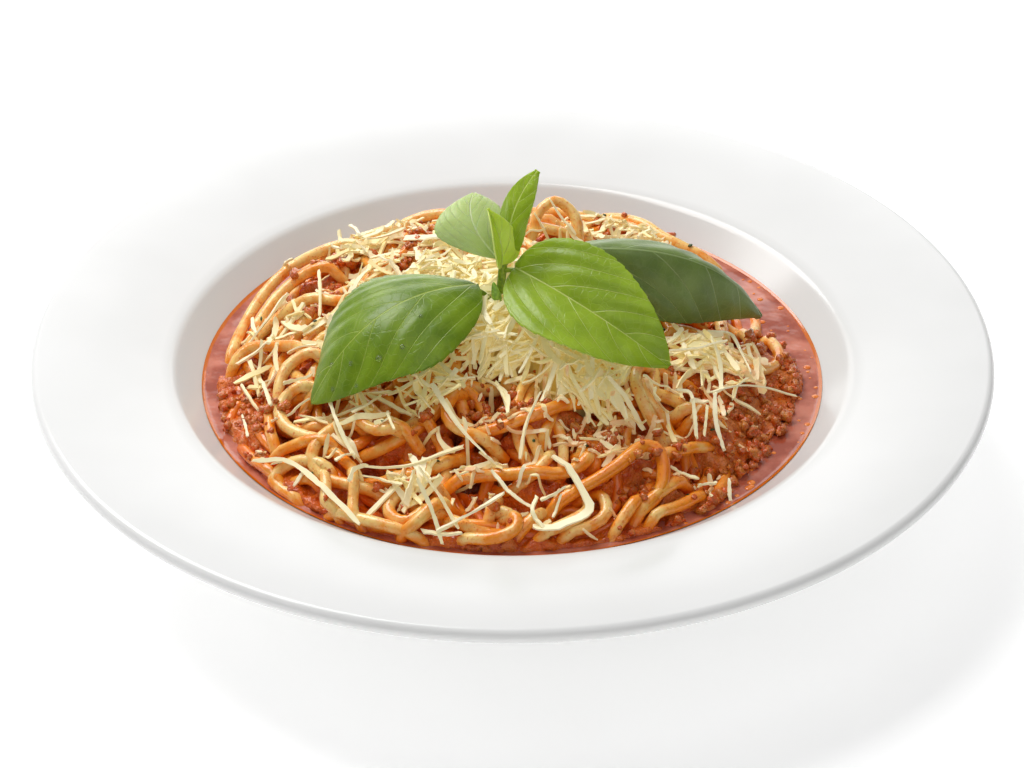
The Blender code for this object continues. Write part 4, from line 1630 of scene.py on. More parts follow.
DRIFTS = table(Drift, (
    (3, -16, 16, 470, (6.0, 15.0), (0.8, 1.9), 0.0), (20, -31, 12, 300, (7.0, 16.0), (0.8, 2.0), 0.05),
    (-13, -14, 13, 190, (6.0, 14.0), (0.8, 1.7), 0.0), (-8, 7, 11, 150, (5.0, 12.0), (0.7, 1.5), 0.0),
    (12, 38, 7, 36, (3.0, 7.0), (0.8, 1.4), 0.2), (68, -13, 9, 74, (3.0, 9.0), (1.0, 2.1), 0.9),
    (45, -30, 11, 14, (3.0, 8.0), (0.9, 1.7), 0.9), (-19, 11, 8, 50, (5.0, 12.0), (0.6, 1.3), 0.0),
    (-21, -35, 7, 34, (6.0, 13.0), (0.8, 1.4), 0.0), (-26, -63, 6, 26, (6.0, 14.0), (1.1, 2.1)),
    (-34, -40, 10, 12, (6.0, 13.0), (0.9, 1.5)), (47, -14, 9, 44, (7.0, 15.0), (1.0, 1.8)),
    (-55, -6, 13, 26, (6.0, 15.0), (1.0, 1.7)), (-41, 42, 11, 60, (5.0, 10.0), (0.9, 1.7)),
    (-31, 17, 12, 44, (5.0, 12.0), (0.9, 1.6), 0.2), (-14, 28, 10, 40, (5.0, 12.0), (0.9, 1.6), 0.1),
    (31, 44, 12, 34, (4.0, 11.0), (0.9, 1.6), 0.3), (22, -46, 11, 30, (4.0, 10.0), (0.8, 1.6), 0.9),
    (-6, -50, 12, 8, (5.0, 12.0), (0.8, 1.4), 0.9), (-52, -44, 12, 8, (5.0, 12.0), (0.9, 1.5), 0.2),
    (58, -14, 15, 56, (4.0, 11.0), (0.8, 1.9), 0.7), (36, -38, 10, 26, (4.0, 10.0), (0.8, 1.6), 0.8),
    (-20, -52, 46, 150, (1.2, 3.6), (0.6, 1.2), 0.35), (30, -40, 44, 120, (1.2, 3.6), (0.6, 1.2), 0.9),
    (-20, 30, 46, 110, (1.2, 4.0), (0.6, 1.2), 0.3), (-50, 4, 24, 44, (4.0, 10.0), (0.6, 1.2), 0.2),
    (30, 50, 14, 50, (4.0, 11.0), (0.6, 1.3), 0.1), (-36, 56, 12, 30, (3.0, 6.5), (0.8, 1.4), 0.1),
    (34, 58, 14, 30, (4.0, 10.0), (0.9, 1.6), 0.3), (-22, 62, 12, 26, (4.0, 10.0), (0.9, 1.6), 0.1),
    (0, 0, 72, 110, (2.5, 8.0), (0.8, 1.3), 0.8),
))


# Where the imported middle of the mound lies.
MOUND_SPOTS = table(Spot, (
    (5, -13, 17, 1.0), (18, -28, 14, 1.0), (-13, -11, 12, 0.8), (-8, 5, 11, 0.8),
))


@dataclass(frozen=True)
class PlacedShred:
    """A listed shred: where it starts, bends and ends, x and y in mm, and its width."""

    points: tuple
    width: float = 0.96
    lift: float = 0.4


PLACED_SHREDS = table(PlacedShred, (
    # long shreds on the left and at the front left
    (((-65, -47), (-55, -50), (-46, -62), (-37, -74)), 1.26, 0.8), (((-70, 3), (-59, 15)), 1.2, 0.8),
    (((-64, 1), (-52, -1)), 1.08, 0.8), (((-64, -16), (-61, -31)), 1.02),
    (((-51, 20), (-50, 2)), 1.02, 0.8), (((-65, 45), (-59, 37)), 0.9), (((-58, -27), (-51, -23)), 0.78),
    (((-57, -34), (-51, -30)), 0.78), (((-46, -37), (-39, -52)), 0.96, 0.6),
    (((-40, -44), (-33, -36)), 0.9, 0.7), (((-70, -12), (-65, -22)), 0.84),
    (((-69, -25), (-67, -34)), 0.72),
    # the crossed shreds at the front
    (((-20, -39), (-14, -50), (-6, -60)), 1.38, 1.2), (((-38, -55), (-25, -58), (-12, -54)), 1.38, 1.0),
    (((-37, -58), (-27, -65)), 1.2, 0.8), (((-24, -62), (-26, -69)), 1.56, 1.2),
    (((-23, -63), (-13, -76)), 1.14, 0.8), (((-18, -76), (-2, -69)), 1.14, 0.7),
    (((-23, -68), (-17, -78)), 0.96, 0.5), (((-15, -60), (-1, -57)), 1.14, 0.8),
    (((-11, -29), (-2, -37), (-1, -50)), 1.02, 0.8), (((-36, -35), (-25, -41)), 0.9, 0.6),
    (((-31, -41), (-29, -52)), 0.78, 0.8), (((-36, -55), (-40, -63)), 0.96, 0.6),
    (((-44, -53), (-39, -51)), 1.2, 0.5), (((-22, -75), (-12, -77)), 0.9, 0.5),
    (((-5, -61), (5, -70)), 0.96, 0.6), (((2, -57), (7, -46)), 0.9, 0.8),
    (((-8, -58), (0, -57)), 0.84, 0.8), (((-4, -33), (-1, -48)), 0.9, 0.8),
    # one wide shred curled like a shaving, with bits inside the curl
    (((10, -58), (14, -62), (18, -70), (19, -73), (17, -75), (10, -77), (5, -75)), 2.1, 1.2),
    (((6, -69), (5, -73), (8, -77)), 1.08, 1.2), (((7, -69), (13, -68)), 1.32, 1.2),
    (((12, -69), (10, -73)), 0.84, 1.2),
    # towards the right
    (((22, -34), (17, -43)), 0.9, 0.8), (((24, -38), (33, -44)), 1.26, 0.8),
    (((33, -33), (40, -31)), 1.08, 0.6), (((36, -34), (37, -38)), 0.78, 0.6),
    (((40, -21), (48, -18), (55, -12)), 1.56, 1.0), (((44, -5), (40, -15)), 1.14, 0.8),
    (((51, 0), (57, -2), (61, -19)), 1.14, 0.9), (((51, -13), (53, -27)), 1.26, 1.0),
    (((41, -35), (45, -35), (46, -47)), 1.2, 0.9), (((51, -34), (53, -46)), 1.02, 0.8),
    (((49, -37), (48, -44)), 0.96, 0.6), (((50, -34), (60, -22), (73, -18)), 0.9, 1.0),
    (((56, -29), (60, -21)), 0.96, 0.8), (((72, 22), (74, 12)), 0.84, 1.2),
    (((39, -54), (46, -56)), 0.84, 0.6), (((54, -53), (57, -61)), 1.14, 0.8),
    (((46, -58), (51, -54)), 1.02, 0.5),
    # the fan at the back left, and single shreds along the back
    (((-42, 38), (-49, 46)), 1.14, 2.2), (((-42, 38), (-47, 48)), 1.08, 2.8),
    (((-41, 38), (-44, 49)), 1.02, 3.4), (((-41, 38), (-36, 48)), 1.2, 2.8),
    (((-40, 38), (-32, 46)), 1.2, 2.4), (((-39, 37), (-29, 41)), 1.14, 2.0),
    (((21, 44), (25, 39)), 1.2, 1.6), (((6, 36), (12, 34)), 1.2, 0.8), (((10, 40), (17, 34)), 1.2, 0.8),
))


@dataclass
class GratedCheese:
    """Shreds of cheese: stiff little ribbons that lie over one another in drifts."""

    relief: Relief
    outline: Outline
    seed: int = 41
    stations: int = 9
    long_stations: int = 21
    core_depth: float = 3.4
    headroom: float = 3.5
    mound_edge: float = 0.02
    upright: float = 0.22
    bearing: float = 0.7
    thickness: tuple = (0.35, 0.6)
    finish: GratedHardCheese = GratedHardCheese()
    material: bpy.types.Material = field(init=False)

    def ribbon(self, stations: int) -> bpy.types.Mesh:
        """Makes the mould of a shred: a bar of unit length, cut into short lengths.

        Args:
            stations: the places along it where it can bend.

        Returns:
            The bar.
        """
        bm = bmesh.new()
        bmesh.ops.create_cube(bm, size=1.0)
        long_edges = [e for e in bm.edges if abs(e.verts[0].co.x - e.verts[1].co.x) > 0.5]
        bmesh.ops.subdivide_edges(bm, edges=long_edges, cuts=stations - 2, use_grid_fill=True)
        return mesh_from(bm, "shred")

    def core(self) -> None:
        """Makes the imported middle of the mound, lower than the mound, for shreds to lie on."""
        mound = Relief.of_nodes(["grated_cheese"], 0.0)
        rng = np.random.default_rng(self.seed + 1)
        full = np.minimum(2.0 * gathered(MOUND_SPOTS, mound.places()), 1.0)
        mound.heights -= self.core_depth + 3.0 * (1.0 - full) - 0.5 * Relief.swells(rng, 1.2).heights

        def shape(places: np.ndarray) -> tuple[np.ndarray, np.ndarray]:
            """The core's heights, and which places are in the mound and not under the heap."""
            height, packed = mound.at(places), gathered(MOUND_SPOTS, places) > self.mound_edge
            return height, packed & (height > self.relief.at(places) - 1.5)

        def skirt(place: Vector) -> Vector:
            """The foot of the core's edge, straight down in the heap."""
            return place - Vector((0.0, 0.0, 5.0 * MM))

        mesh = closed_grid(45.0, 120, (6.0, -22.0), shape, skirt, "grated_cheese_core")
        # the core lies deep in the mound, so it is given much of the painted yellow of light through
        # the shreds
        for name, value in (("depth", 0.75), ("tone", 0.8), ("soak", 0.0)):
            add_attribute(mesh, name, np.full(len(mesh.vertices), value))
        add_piece("grated_cheese_core", mesh, [self.material], "cheese")
        raised = mound.heights * (gathered(MOUND_SPOTS, mound.places()) > self.mound_edge)
        self.relief.heights = np.maximum(self.relief.heights, raised)

    def ceiling(self) -> Relief:
        """Limits how high shreds lie: just over the mound, and clear of the leaves.

        Returns:
            Those heights.
        """
        mound = Relief.of_nodes(["grated_cheese", "spaghetti", "meat_sauce"], 30.0)
        leaves = Relief.of_nodes([leaf.node for leaf in LEAVES[:3]], 0.0)
        over = mound.heights + self.headroom
        return Relief(np.where(leaves.heights > 0.0, np.minimum(over, leaves.heights - 2.0), over))

    def drawn(self, rng: np.random.Generator, drift: Drift) -> tuple:
        """Draws the routes of a drift's shreds.

        Args:
            rng: the draws.
            drift: the drift.

        Returns:
            Places (count x stations x 2), widths and soak.
        """
        n = drift.count
        angle = rng.uniform(0.0, math.tau, n)
        distance = drift.reach * rng.uniform(0.0, 1.0, n) ** 0.6
        middle = (drift.x, drift.y) + polar(distance, angle)
        length = rng.uniform(*drift.length, n)
        heading = rng.uniform(0.0, math.tau, n)
        bend = rng.normal(0.0, 0.045, n)
        run = np.linspace(-0.5, 0.5, self.stations)[None] * length[:, None]
        turn = heading[:, None] + bend[:, None] * run
        route = np.cumsum(polar((length / (self.stations - 1))[:, None], turn), 1)
        route += (middle - route.mean(1))[:, None]
        keep = self.outline.margin(route).min(1) > -1.0
        width = rng.uniform(*drift.width, n)
        return route[keep], width[keep], np.full(int(keep.sum()), drift.soak)

    def settle(self, route: np.ndarray, lift: float, limp: float) -> np.ndarray:
        """Heights of a shred: between a straight line over the peaks it rests on and the relief.

        Args:
            route: its places in mm.
            lift: how far it lies over what is under it.
            limp: 0 for a stiff shred, 1 for one that drapes.

        Returns:
            Its heights in mm.
        """
        rest = self.relief.rest(route, 0.35)
        run = np.linspace(-1.0, 1.0, len(rest))
        best, best_cost = rest, math.inf
        for slope in np.linspace(-6.0, 6.0, 25):
            line = slope * run
            line = line + (rest - line).max()
            cost = (line - rest).mean()
            if cost < best_cost:
                best, best_cost = line, cost
        draped = softened(rest, 0.17 * len(rest))
        return np.maximum(limp * draped + (1.0 - limp) * best, rest - 0.5) + lift

    def joined(
        self, mould: bpy.types.Mesh, shreds: list, tones: list, soaks: list, name: str, nodes: list
    ) -> None:
        """Joins shreds to a piece, with how deep each lies under the crest of the drift.

        Args:
            mould: the straight shred.
            shreds: each one's corners in mm.
            tones: how creamy each is.
            soaks: how far sauce has stained each.
            name: the piece's name.
            nodes: the CAD nodes that it stands for.
        """
        corners = np.array(shreds)
        mesh = joined_copies(mould, corners, name)
        points = corners.reshape(-1, 3)
        # depth under the drift's crest drives the painted yellow and the painted glow of light through
        # the shreds
        crest = self.relief.blurred(1.6).at(points[:, :2])
        add_attribute(mesh, "depth", 0.8 * smoothstep(0.4, 3.6, crest - points[:, 2]))
        add_attribute(mesh, "tone", np.repeat(tones, corners.shape[1]))
        add_attribute(mesh, "soak", np.repeat(soaks, corners.shape[1]))
        add_piece(name, mesh, [self.material], "cheese", nodes, 40.0)

    def build(self) -> None:
        """Lays the drifts one on another, then the long shreds over them."""
        rng = np.random.default_rng(self.seed)
        self.material = self.finish.material()
        self.core()
        mould = self.ribbon(self.stations)
        drawn = [self.drawn(rng, drift) for drift in DRIFTS]
        routes, widths, soaks = (np.concatenate(part) for part in zip(*drawn))
        ceiling = self.ceiling()
        shreds, tones, wets = [], [], []
        for index in rng.permutation(len(routes)):
            soak = soaks[index] * rng.uniform(0.3, 1.4)
            limp = min(rng.uniform(0.05, 0.5) + 0.5 * soak, 1.0)
            height = self.settle(routes[index], 0.25 - 0.35 * min(soak, 1.0), limp)
            line = np.column_stack([routes[index], height])
            if rng.uniform() < self.upright and soak < 0.2:
                line[:, 2] += np.linspace(0.0, rng.uniform(1.0, 3.5), len(line))
            if (line[:, 2] > ceiling.at(routes[index])).any():
                continue
            shreds.append(self.shaped(line, float(widths[index]), mould, rng))
            tones.append(rng.uniform())
            wets.append(soak)
            if rng.uniform() < self.bearing:
                self.relief.press(line, 0.45)
        self.joined(mould, shreds, tones, wets, "grated_cheese_shreds", ["grated_cheese"])
        mould = self.ribbon(self.long_stations)
        shreds, tones = [], []
        for placed in PLACED_SHREDS:
            path = spline_through(self.bowed(placed.points, rng), 0.1)
            at = np.linspace(0, len(path) - 1, self.long_stations).astype(int)
            height = self.settle(path[at, :2], placed.lift, rng.uniform(0.05, 0.3))
            line = np.column_stack([path[at, :2], height])
            shreds.append(self.shaped(line, placed.width, mould, rng))
            tones.append(rng.uniform(0.0, 0.5))
        self.joined(mould, shreds, tones, [0.0] * len(tones), "long_cheese_shreds", [])

    def bowed(self, points: tuple, rng: np.random.Generator) -> np.ndarray:
        """Bends a straight shred a little, with one more point at its middle.

        Args:
            points: its ends, or more points along it.
            rng: the draws.

        Returns:
            Its points.
        """
        points = np.array(points, float)
        if len(points) > 2:
            return points
        off = (points[1] - points[0]) @ np.array([[0.0, 1.0], [-1.0, 0.0]])
        return np.insert(points, 1, points.mean(0) + off * rng.normal(0.0, 0.07), 0)

    def shaped(
        self, line: np.ndarray, width: float, mould: bpy.types.Mesh, rng: np.random.Generator
    ) -> np.ndarray:
        """Bends the mould along a line.

        Args:
            line: the shred's centreline in mm.
            width: its width in mm.
            mould: the straight shred.
            rng: the draws for its roll, thickness and ragged ends.

        Returns:
            The shred's corners in mm.
        """
        bar = vertices_of(mould) * MM
        station = np.rint((bar[:, 0] + 0.5) * (len(line) - 1)).astype(int)
        along = directions(line)
        side = np.stack([-along[:, 1], along[:, 0], np.zeros(len(line))], 1)
        side /= np.linalg.norm(side, axis=1, keepdims=True)
        up = np.cross(along, side)
        roll = rng.normal(0.0, 0.4) + np.linspace(-1.0, 1.0, len(line)) * rng.normal(0.0, 0.4)
        across = side * np.cos(roll)[:, None] + up * np.sin(roll)[:, None]
        through = np.cross(along, across)
        taper = np.ones(len(line))
        taper[[0, -1]] = rng.uniform(0.4, 1.0, 2)
        taper[[1, -2]] = rng.uniform(0.75, 1.05, 2)
        taper *= np.linspace(*rng.uniform(0.7, 1.15, 2), len(line))
        taper *= 1.0 + softened(rng.normal(0.0, 0.16, len(line)), 1.0)
        lift = 0.5 * width * np.abs(np.sin(roll))
        thick = rng.uniform(*self.thickness)
        sides = 1.0 + rng.normal(0.0, 0.10, (2, len(line)))
        edges = taper * np.where(bar[:, 1:2] > 0.0, sides[:1], sides[1:])
        edge = edges[np.arange(len(bar)), station]
        line = line + (0.0, 0.0, 1.0) * softened(rng.normal(0.0, 0.2, len(line)), 1.2)[:, None]
        corners = line[station] + (bar[:, 1] * width * edge)[:, None] * across[station]
        corners += (bar[:, 2] * thick)[:, None] * through[station]
        ragged = rng.normal(0.0, 0.25, len(corners)) * (np.abs(bar[:, 0]) > 0.49)
        corners += ragged[:, None] * along[station]
        corners[:, 2] += lift[station]
        return corners


# ---- herbs and oil
@dataclass
class HerbFlecks:
    """Chopped dried herbs that were cooked in the sauce: small dark flakes."""

    relief: Relief
    outline: Outline
    count: int = 90
    reach: float = 75.0
    seed: int = 61
    size: tuple = (0.25, 0.75)
    finish: PlainFinish = PlainFinish("chopped_herbs", "#4A6426", "#2B3A14", 0.5, 0.42)

    def build(self) -> None:
        """Makes each flake a flattened knobbly ball and joins them."""
        rng = np.random.default_rng(self.seed)
        mould, ball = mould_from(bmesh.ops.create_icosphere, subdivisions=1, radius=1.0)
        angle = rng.uniform(0.0, math.tau, self.count)
        places = polar(self.reach * np.sqrt(rng.uniform(0.0, 1.0, self.count)), angle)
        places = places[self.outline.margin(places) > 0.5]
        count = len(places)
        size = rng.uniform(*self.size, (count, 1, 3)) * (1.3, 1.0, 0.45)
        corners = ball[None] * size * (1.0 + rng.normal(0.0, 0.15, (count, len(ball), 1)))
        spin = rng.uniform(0.0, math.tau, count)
        tilt = rng.normal(0.0, 0.5, count)
        for index in range(count):
            turn = Matrix.Rotation(spin[index], 3, "Z") @ Matrix.Rotation(tilt[index], 3, "X")
            corners[index] = corners[index] @ np.array(turn).T
        corners += np.column_stack([places, self.relief.at(places) + 0.12])[:, None, :]
        mesh = joined_copies(mould, corners, "herb_flecks")
        add_piece("herb_flecks", mesh, [self.finish.material()], "basil_dark")


@dataclass
class OilBeads:
    """Beads of orange oil and small bubbles that float on the thin sauce."""

    level: float
    wall: float
    meat_top: Relief
    count: int = 50
    bearings: tuple = (-62.0, 40.0)
    band: tuple = (1.2, 13.0)
    seed: int = 71
    size: tuple = (0.35, 1.1)
    finish: PlainFinish = PlainFinish("orange_oil", "#F08C3C", "#E0701E", 1.5, 0.05, 0.0, 1.47)

    def build(self) -> None:
        """Makes each bead a low dome and joins them."""
        rng = np.random.default_rng(self.seed)
        sizes = {"u_segments": 12, "v_segments": 6, "radius": 1.0}
        mould, ball = mould_from(bmesh.ops.create_uvsphere, **sizes)
        bearing = np.radians(rng.uniform(*self.bearings, self.count))
        nearest, width = self.band
        radius = self.wall - nearest - rng.uniform(0.0, 1.0, self.count) ** 1.5 * width
        places = polar(radius, bearing)
        places = places[self.meat_top.at(places) < self.level]
        small, large = self.size
        size = rng.uniform(0.0, 1.0, (len(places), 1, 1)) ** 2 * (large - small) + small
        corners = ball[None] * size * (1.0, 1.0, 0.28)
        corners += np.column_stack([places, np.full(len(places), self.level)])[:, None, :]
        mesh = joined_copies(mould, corners, "oil_beads")
        add_piece("oil_beads", mesh, [self.finish.material()], "tomato_sauce")


# ---- basil
@dataclass(frozen=True)
class LeafForm:
    """The form of a basil leaf, in metres and degrees, as the CAD leaf has it."""

    node: str
    base: tuple
    tip: tuple
    half_width: float
    arch: float
    roll: float
    fold: float
    cup: float
    widest: float
    sharp: float
    sway: float
    slot: str
    veins: float = 4.5
    pucker: float = 0.30
    teeth: int = 7
    look: str = ""

    def length(self) -> float:
        """Base to tip."""
        return (Vector(self.tip) - Vector(self.base)).length

    def width_at(self, along: float) -> float:
        """Works out half the blade's width.

        Args:
            along: share of the blade's length.

        Returns:
            Half its width in metres.
        """
        rise = self.sharp * self.widest / (1.0 - self.widest)
        peak = self.widest**rise * (1.0 - self.widest) ** self.sharp
        width = self.half_width * along**rise * (1.0 - along) ** self.sharp / peak
        return max(width, 0.0006)

    def frame(self, along: float) -> tuple[Vector, Vector, Vector]:
        """Places the blade's spine.

        Args:
            along: share of the blade's length.

        Returns:
            The spine's point, the way to the blade's side and the blade's normal.
        """
        base, tip = Vector(self.base), Vector(self.tip)
        axis = (tip - base).normalized()
        level = Vector((0.0, 0.0, 1.0)).cross(axis).normalized()
        upward = axis.cross(level)
        if upward.z < 0.0:
            upward = -upward
        turn = math.radians(self.roll)
        side = math.cos(turn) * level + math.sin(turn) * upward
        normal = -math.sin(turn) * level + math.cos(turn) * upward
        bow = 4.0 * along * (1.0 - along)
        spine = base.lerp(tip, along) + normal * (self.arch * bow) + side * (self.sway * bow)
        tangent = ((tip - base) + normal * (self.arch * 4.0 * (1.0 - 2.0 * along))).normalized()
        return spine, side, (normal - tangent * normal.dot(tangent)).normalized()

    def vein_phase(self, along: float, across: float) -> float:
        """Counts the side veins, which sweep forwards.

        Args:
            along: share of the blade's length.
            across: share of half its width, below 0 on the right.

        Returns:
            A number that grows by 1 from one vein to the next.
        """
        off = abs(across) * self.width_at(along) / self.length()
        forward = along - 1.15 * off - 0.95 * off * abs(across) + 0.02 * math.sin(9.0 * along)
        shift = 0.4 if across > 0.0 else 0.0
        return forward * self.veins + shift + 0.5

    def point(self, along: float, across: float) -> Vector:
        """Shapes the blade, puckered between its veins and toothed at its edge.

        Args:
            along: share of the blade's length.
            across: share of half its width, below 0 on the right.

        Returns:
            The place in metres.
        """
        spine, side, normal = self.frame(along)
        width = self.width_at(along)
        notch = (along * self.teeth * 2.0 + 0.3 * math.sin(11.0 * along)) % 1.0
        tooth = 1.0 + 0.013 * (2.0 * notch - 1.0) * across**12
        tooth += 0.012 * math.sin(13.0 * along + 2.0 * across) * across**4
        out, drop = 0.0, 0.0
        pieces = 6
        for piece in range(pieces):
            angle = math.radians(self.fold + self.cup * (piece + 0.5) / pieces * abs(across))
            out += math.cos(angle) * abs(across) * width / pieces
            drop += math.sin(angle) * abs(across) * width / pieces
        swell = math.sin(math.pi * (self.vein_phase(along, across) % 1.0)) ** 2
        edge = (1.0 - abs(across) ** 4) * min(1.0, 6.0 * along * (1.0 - along) + 0.1)
        rib = math.exp(-((abs(across) * width / 0.0013) ** 2))
        ease = self.pucker * MM * self.length() / 0.05
        lift = ease * (swell * edge * min(1.0, abs(across) * 2.5) - 0.7 * rib)
        wave = 0.9 * MM * self.length() / 0.05 * math.sin(7.0 * along + 2.0 * across) * across**2
        return spine + side * math.copysign(out * tooth, across) - normal * (drop - lift - wave)


LEAVES = (
    LeafForm("basil_leaf_left", (-0.0090, -0.0131, 0.0650), (-0.0506, -0.0350, 0.0435), 0.0193,
             0.0125, -5.0, 7.0, 22.5, 0.41, 0.71, 0.0015, "basil_dark", 4.2, 0.38),
    LeafForm("basil_leaf_right", (0.0113, -0.0015, 0.0680), (0.0659, 0.0108, 0.0400), 0.0189,
             0.0140, 28.9, 35.9, 28.2, 0.47, 1.0, 0.0, "basil_dull", 4.4, 0.5),
    LeafForm("basil_leaf_front", (0.0006, -0.0146, 0.0710), (0.0392, -0.0366, 0.0555), 0.0154,
             0.0047, 22.6, -9.8, -2.5, 0.36, 0.9, -0.0012, "basil_bright", 4.3, 0.5),
    LeafForm("basil_leaf_back", (-0.0036, -0.0108, 0.0712), (-0.0096, 0.0041, 0.0816), 0.0099,
             0.0035, 3.6, 0.0, 23.0, 0.51, 0.68, 0.0047, "basil_pale", 4.0, 0.35),
    LeafForm("basil_leaf_top", (-0.0005, -0.0126, 0.0722), (0.0064, -0.0069, 0.0946), 0.0050,
             0.0038, 5.5, -0.8, 22.0, 0.47, 0.83, 0.0003, "basil_bright", 4.0, 0.3),
    LeafForm("basil_leaf_small", (-0.0026, -0.0142, 0.0715), (-0.0062, -0.0110, 0.0859), 0.0048,
             0.0020, -9.5, -34.0, -4.0, 0.33, 0.90, 0.0, "basil_bright", 3.0, 0.25, 7, "basil_young_lit"),
)

BLADES = {
    "basil_dark": BasilBlade("basil_blade_dark", "#7A9616", "#62800E", "#A4B84C", 0.30),
    "basil_dull": BasilBlade("basil_blade_dull", "#768C48", "#64793C", "#98AA70", 0.34),
    "basil_bright": BasilBlade("basil_blade_bright", "#9AB626", "#86A21A", "#CEDA78", 0.28),
    # painted light: a brighter copy of the bright blade for the small leaf, partly a young leaf's paler
    # green and partly light for a leaf turned away from the key
    "basil_young_lit": BasilBlade("basil_blade_young_lit", "#D2E84E", "#C2DC3C", "#E4EE9A", 0.30),
    "basil_pale": BasilBlade("basil_blade_pale", "#C2D48A", "#B2C674", "#DEE8BC", 0.34),
}


@dataclass(frozen=True)
class DewDrop:
    """A drop of water on a blade: the leaf, shares along and across it, and radius in mm."""

    leaf: int
    along: float
    across: float
    radius: float


DEW = table(DewDrop, (
    (0, 0.64, 0.56, 0.85), (0, 0.34, 0.36, 0.50), (0, 0.51, 0.60, 0.60), (0, 0.75, 0.34, 0.65),
    (0, 0.82, -0.02, 0.70), (0, 0.90, -0.36, 0.50), (0, 0.89, 0.52, 0.60), (0, 0.81, 0.82, 0.55),
))


@dataclass
class BasilSprig:
    """The sprig of basil: six blades, the stem with its stalks, a closed bud and drops of water."""

    stem_foot: tuple = (-0.0034, -0.0130, 0.0565)
    stem_top: tuple = (-0.0022, -0.0127, 0.0712)
    left_node: tuple = (-0.0034, -0.0140, 0.0580)
    lower_node: tuple = (-0.0030, -0.0130, 0.0615)
    upper_node: tuple = (-0.0024, -0.0128, 0.0688)
    bud_foot: tuple = (-0.0030, -0.0157, 0.0575)
    bud_tip: tuple = (-0.0047, -0.0160, 0.0674)
    bud_radius: float = 0.0013
    stem_radius: float = 0.00125
    stalk_radius: float = 0.00062
    blade_thickness: float = 0.0004

    def blade(self, form: LeafForm, finishes: list) -> None:
        """Shapes one blade from a flat grid and gives it its thickness.

        Args:
            form: the leaf's form.
            finishes: the materials of its upper face and its underside.
        """
        fine = 130 if form.length() > 0.03 else 60
        bm = bmesh.new()
        bmesh.ops.create_grid(bm, x_segments=fine, y_segments=fine // 2, size=1.0)
        flat = np.array([vert.co[:2] for vert in bm.verts])
        along = (flat[:, 0] + 1.0) / 2.0
        for vert, share, across in zip(bm.verts, along, flat[:, 1]):
            vert.co = form.point(float(share), float(across))
        bm.normal_update()
        if sum(face.normal.z for face in bm.faces) < 0.0:
            bmesh.ops.reverse_faces(bm, faces=bm.faces)
        name = form.node + "_blade"
        mesh = mesh_from(bm, name, outwards=False)
        coords = []
        for share, across in zip(along, flat[:, 1]):
            width = form.width_at(float(share)) / MM
            coords.append((form.vein_phase(float(share), float(across)), across * width, share))
        add_attribute(mesh, "veins", np.array(coords))
        piece = add_piece(name, mesh, finishes, form.slot, [form.node])
        solidify = piece.modifiers.new("thickness", "SOLIDIFY")
        solidify.thickness = self.blade_thickness
        solidify.offset = 0.0
        solidify.material_offset = 1
        solidify.material_offset_rim = 1

    def stalk_line(self, form: LeafForm, foot: Vector, sag: float) -> np.ndarray:
        """Draws the arc of a stalk from the stem into a leaf's base.

        Args:
            form: the leaf's form.
            foot: where it leaves the stem.
            sag: how far its middle bows up, in metres.

        Returns:
            Its points in mm.
        """
        end = Vector(form.base) + (Vector(form.tip) - Vector(form.base)).normalized() * 0.0016
        middle = foot.lerp(end, 0.5) + Vector((0.0, 0.0, sag))
        points = []
        for step in range(11):
            share = step / 10.0
            points.append(foot.lerp(middle, share).lerp(middle.lerp(end, share), share))
        return np.array(points) / MM

    def build_stem(self) -> None:
        """Sweeps the stem, thinner towards its top, and a stalk to each leaf."""
        foot, top = Vector(self.stem_foot), Vector(self.stem_top)
        stem = [foot.lerp(top, step / 12.0) / MM for step in range(13)]
        lines = [np.array(stem)]
        radii = [self.stem_radius / MM * np.linspace(1.0, 0.85, 13)]
        feet = (self.left_node, self.lower_node, *[self.upper_node] * 4)
        sags = (0.0024, 0.0010, 0.0004, 0.0004, 0.0002, 0.0002)
        widths = (1.0, 1.0, 1.0, 0.9, 0.8, 0.7)
        for form, node, sag, width in zip(LEAVES, feet, sags, widths):
            lines.append(self.stalk_line(form, Vector(node), sag))
            radii.append(self.stalk_radius / MM * width * np.linspace(1.15, 0.8, 11))
        mesh = swept_tubes(lines, radii, "stem", 5)[0]
        green = PlainFinish("basil_stalk", "#93AC2E", "#6F8C1E", 1.2, 0.34).material()
        add_piece("basil_stem_and_stalks", mesh, [green], "basil_stalk", ["basil_stem"], 60.0)

    def build_bud(self) -> None:
        """Shapes the closed bud as a slim egg, folded like two shut leaves."""
        bm = bmesh.new()
        bmesh.ops.create_uvsphere(bm, u_segments=24, v_segments=16, radius=1.0)
        for vert in bm.verts:
            crease = 1.0 - 0.12 * math.exp(-((vert.co.y / 0.25) ** 2))
            narrowing = 1.0 - 0.3 * vert.co.z
            vert.co.x *= crease * narrowing
            vert.co.y *= narrowing
        foot, tip = Vector(self.bud_foot), Vector(self.bud_tip)
        axis = tip - foot
        size = Matrix.Diagonal((self.bud_radius, self.bud_radius, axis.length / 2.0, 1.0))
        turn = axis.to_track_quat("Z", "Y").to_matrix().to_4x4()
        bm.transform(Matrix.Translation((foot + tip) / 2.0) @ turn @ size)
        green = PlainFinish("basil_bud", "#9CC84E", "#7FAE3C", 0.8, 0.36).material()
        mesh = mesh_from(bm, "basil_bud_closed")
        add_piece("basil_bud_closed", mesh, [green], "basil_dark", ["basil_bud"])

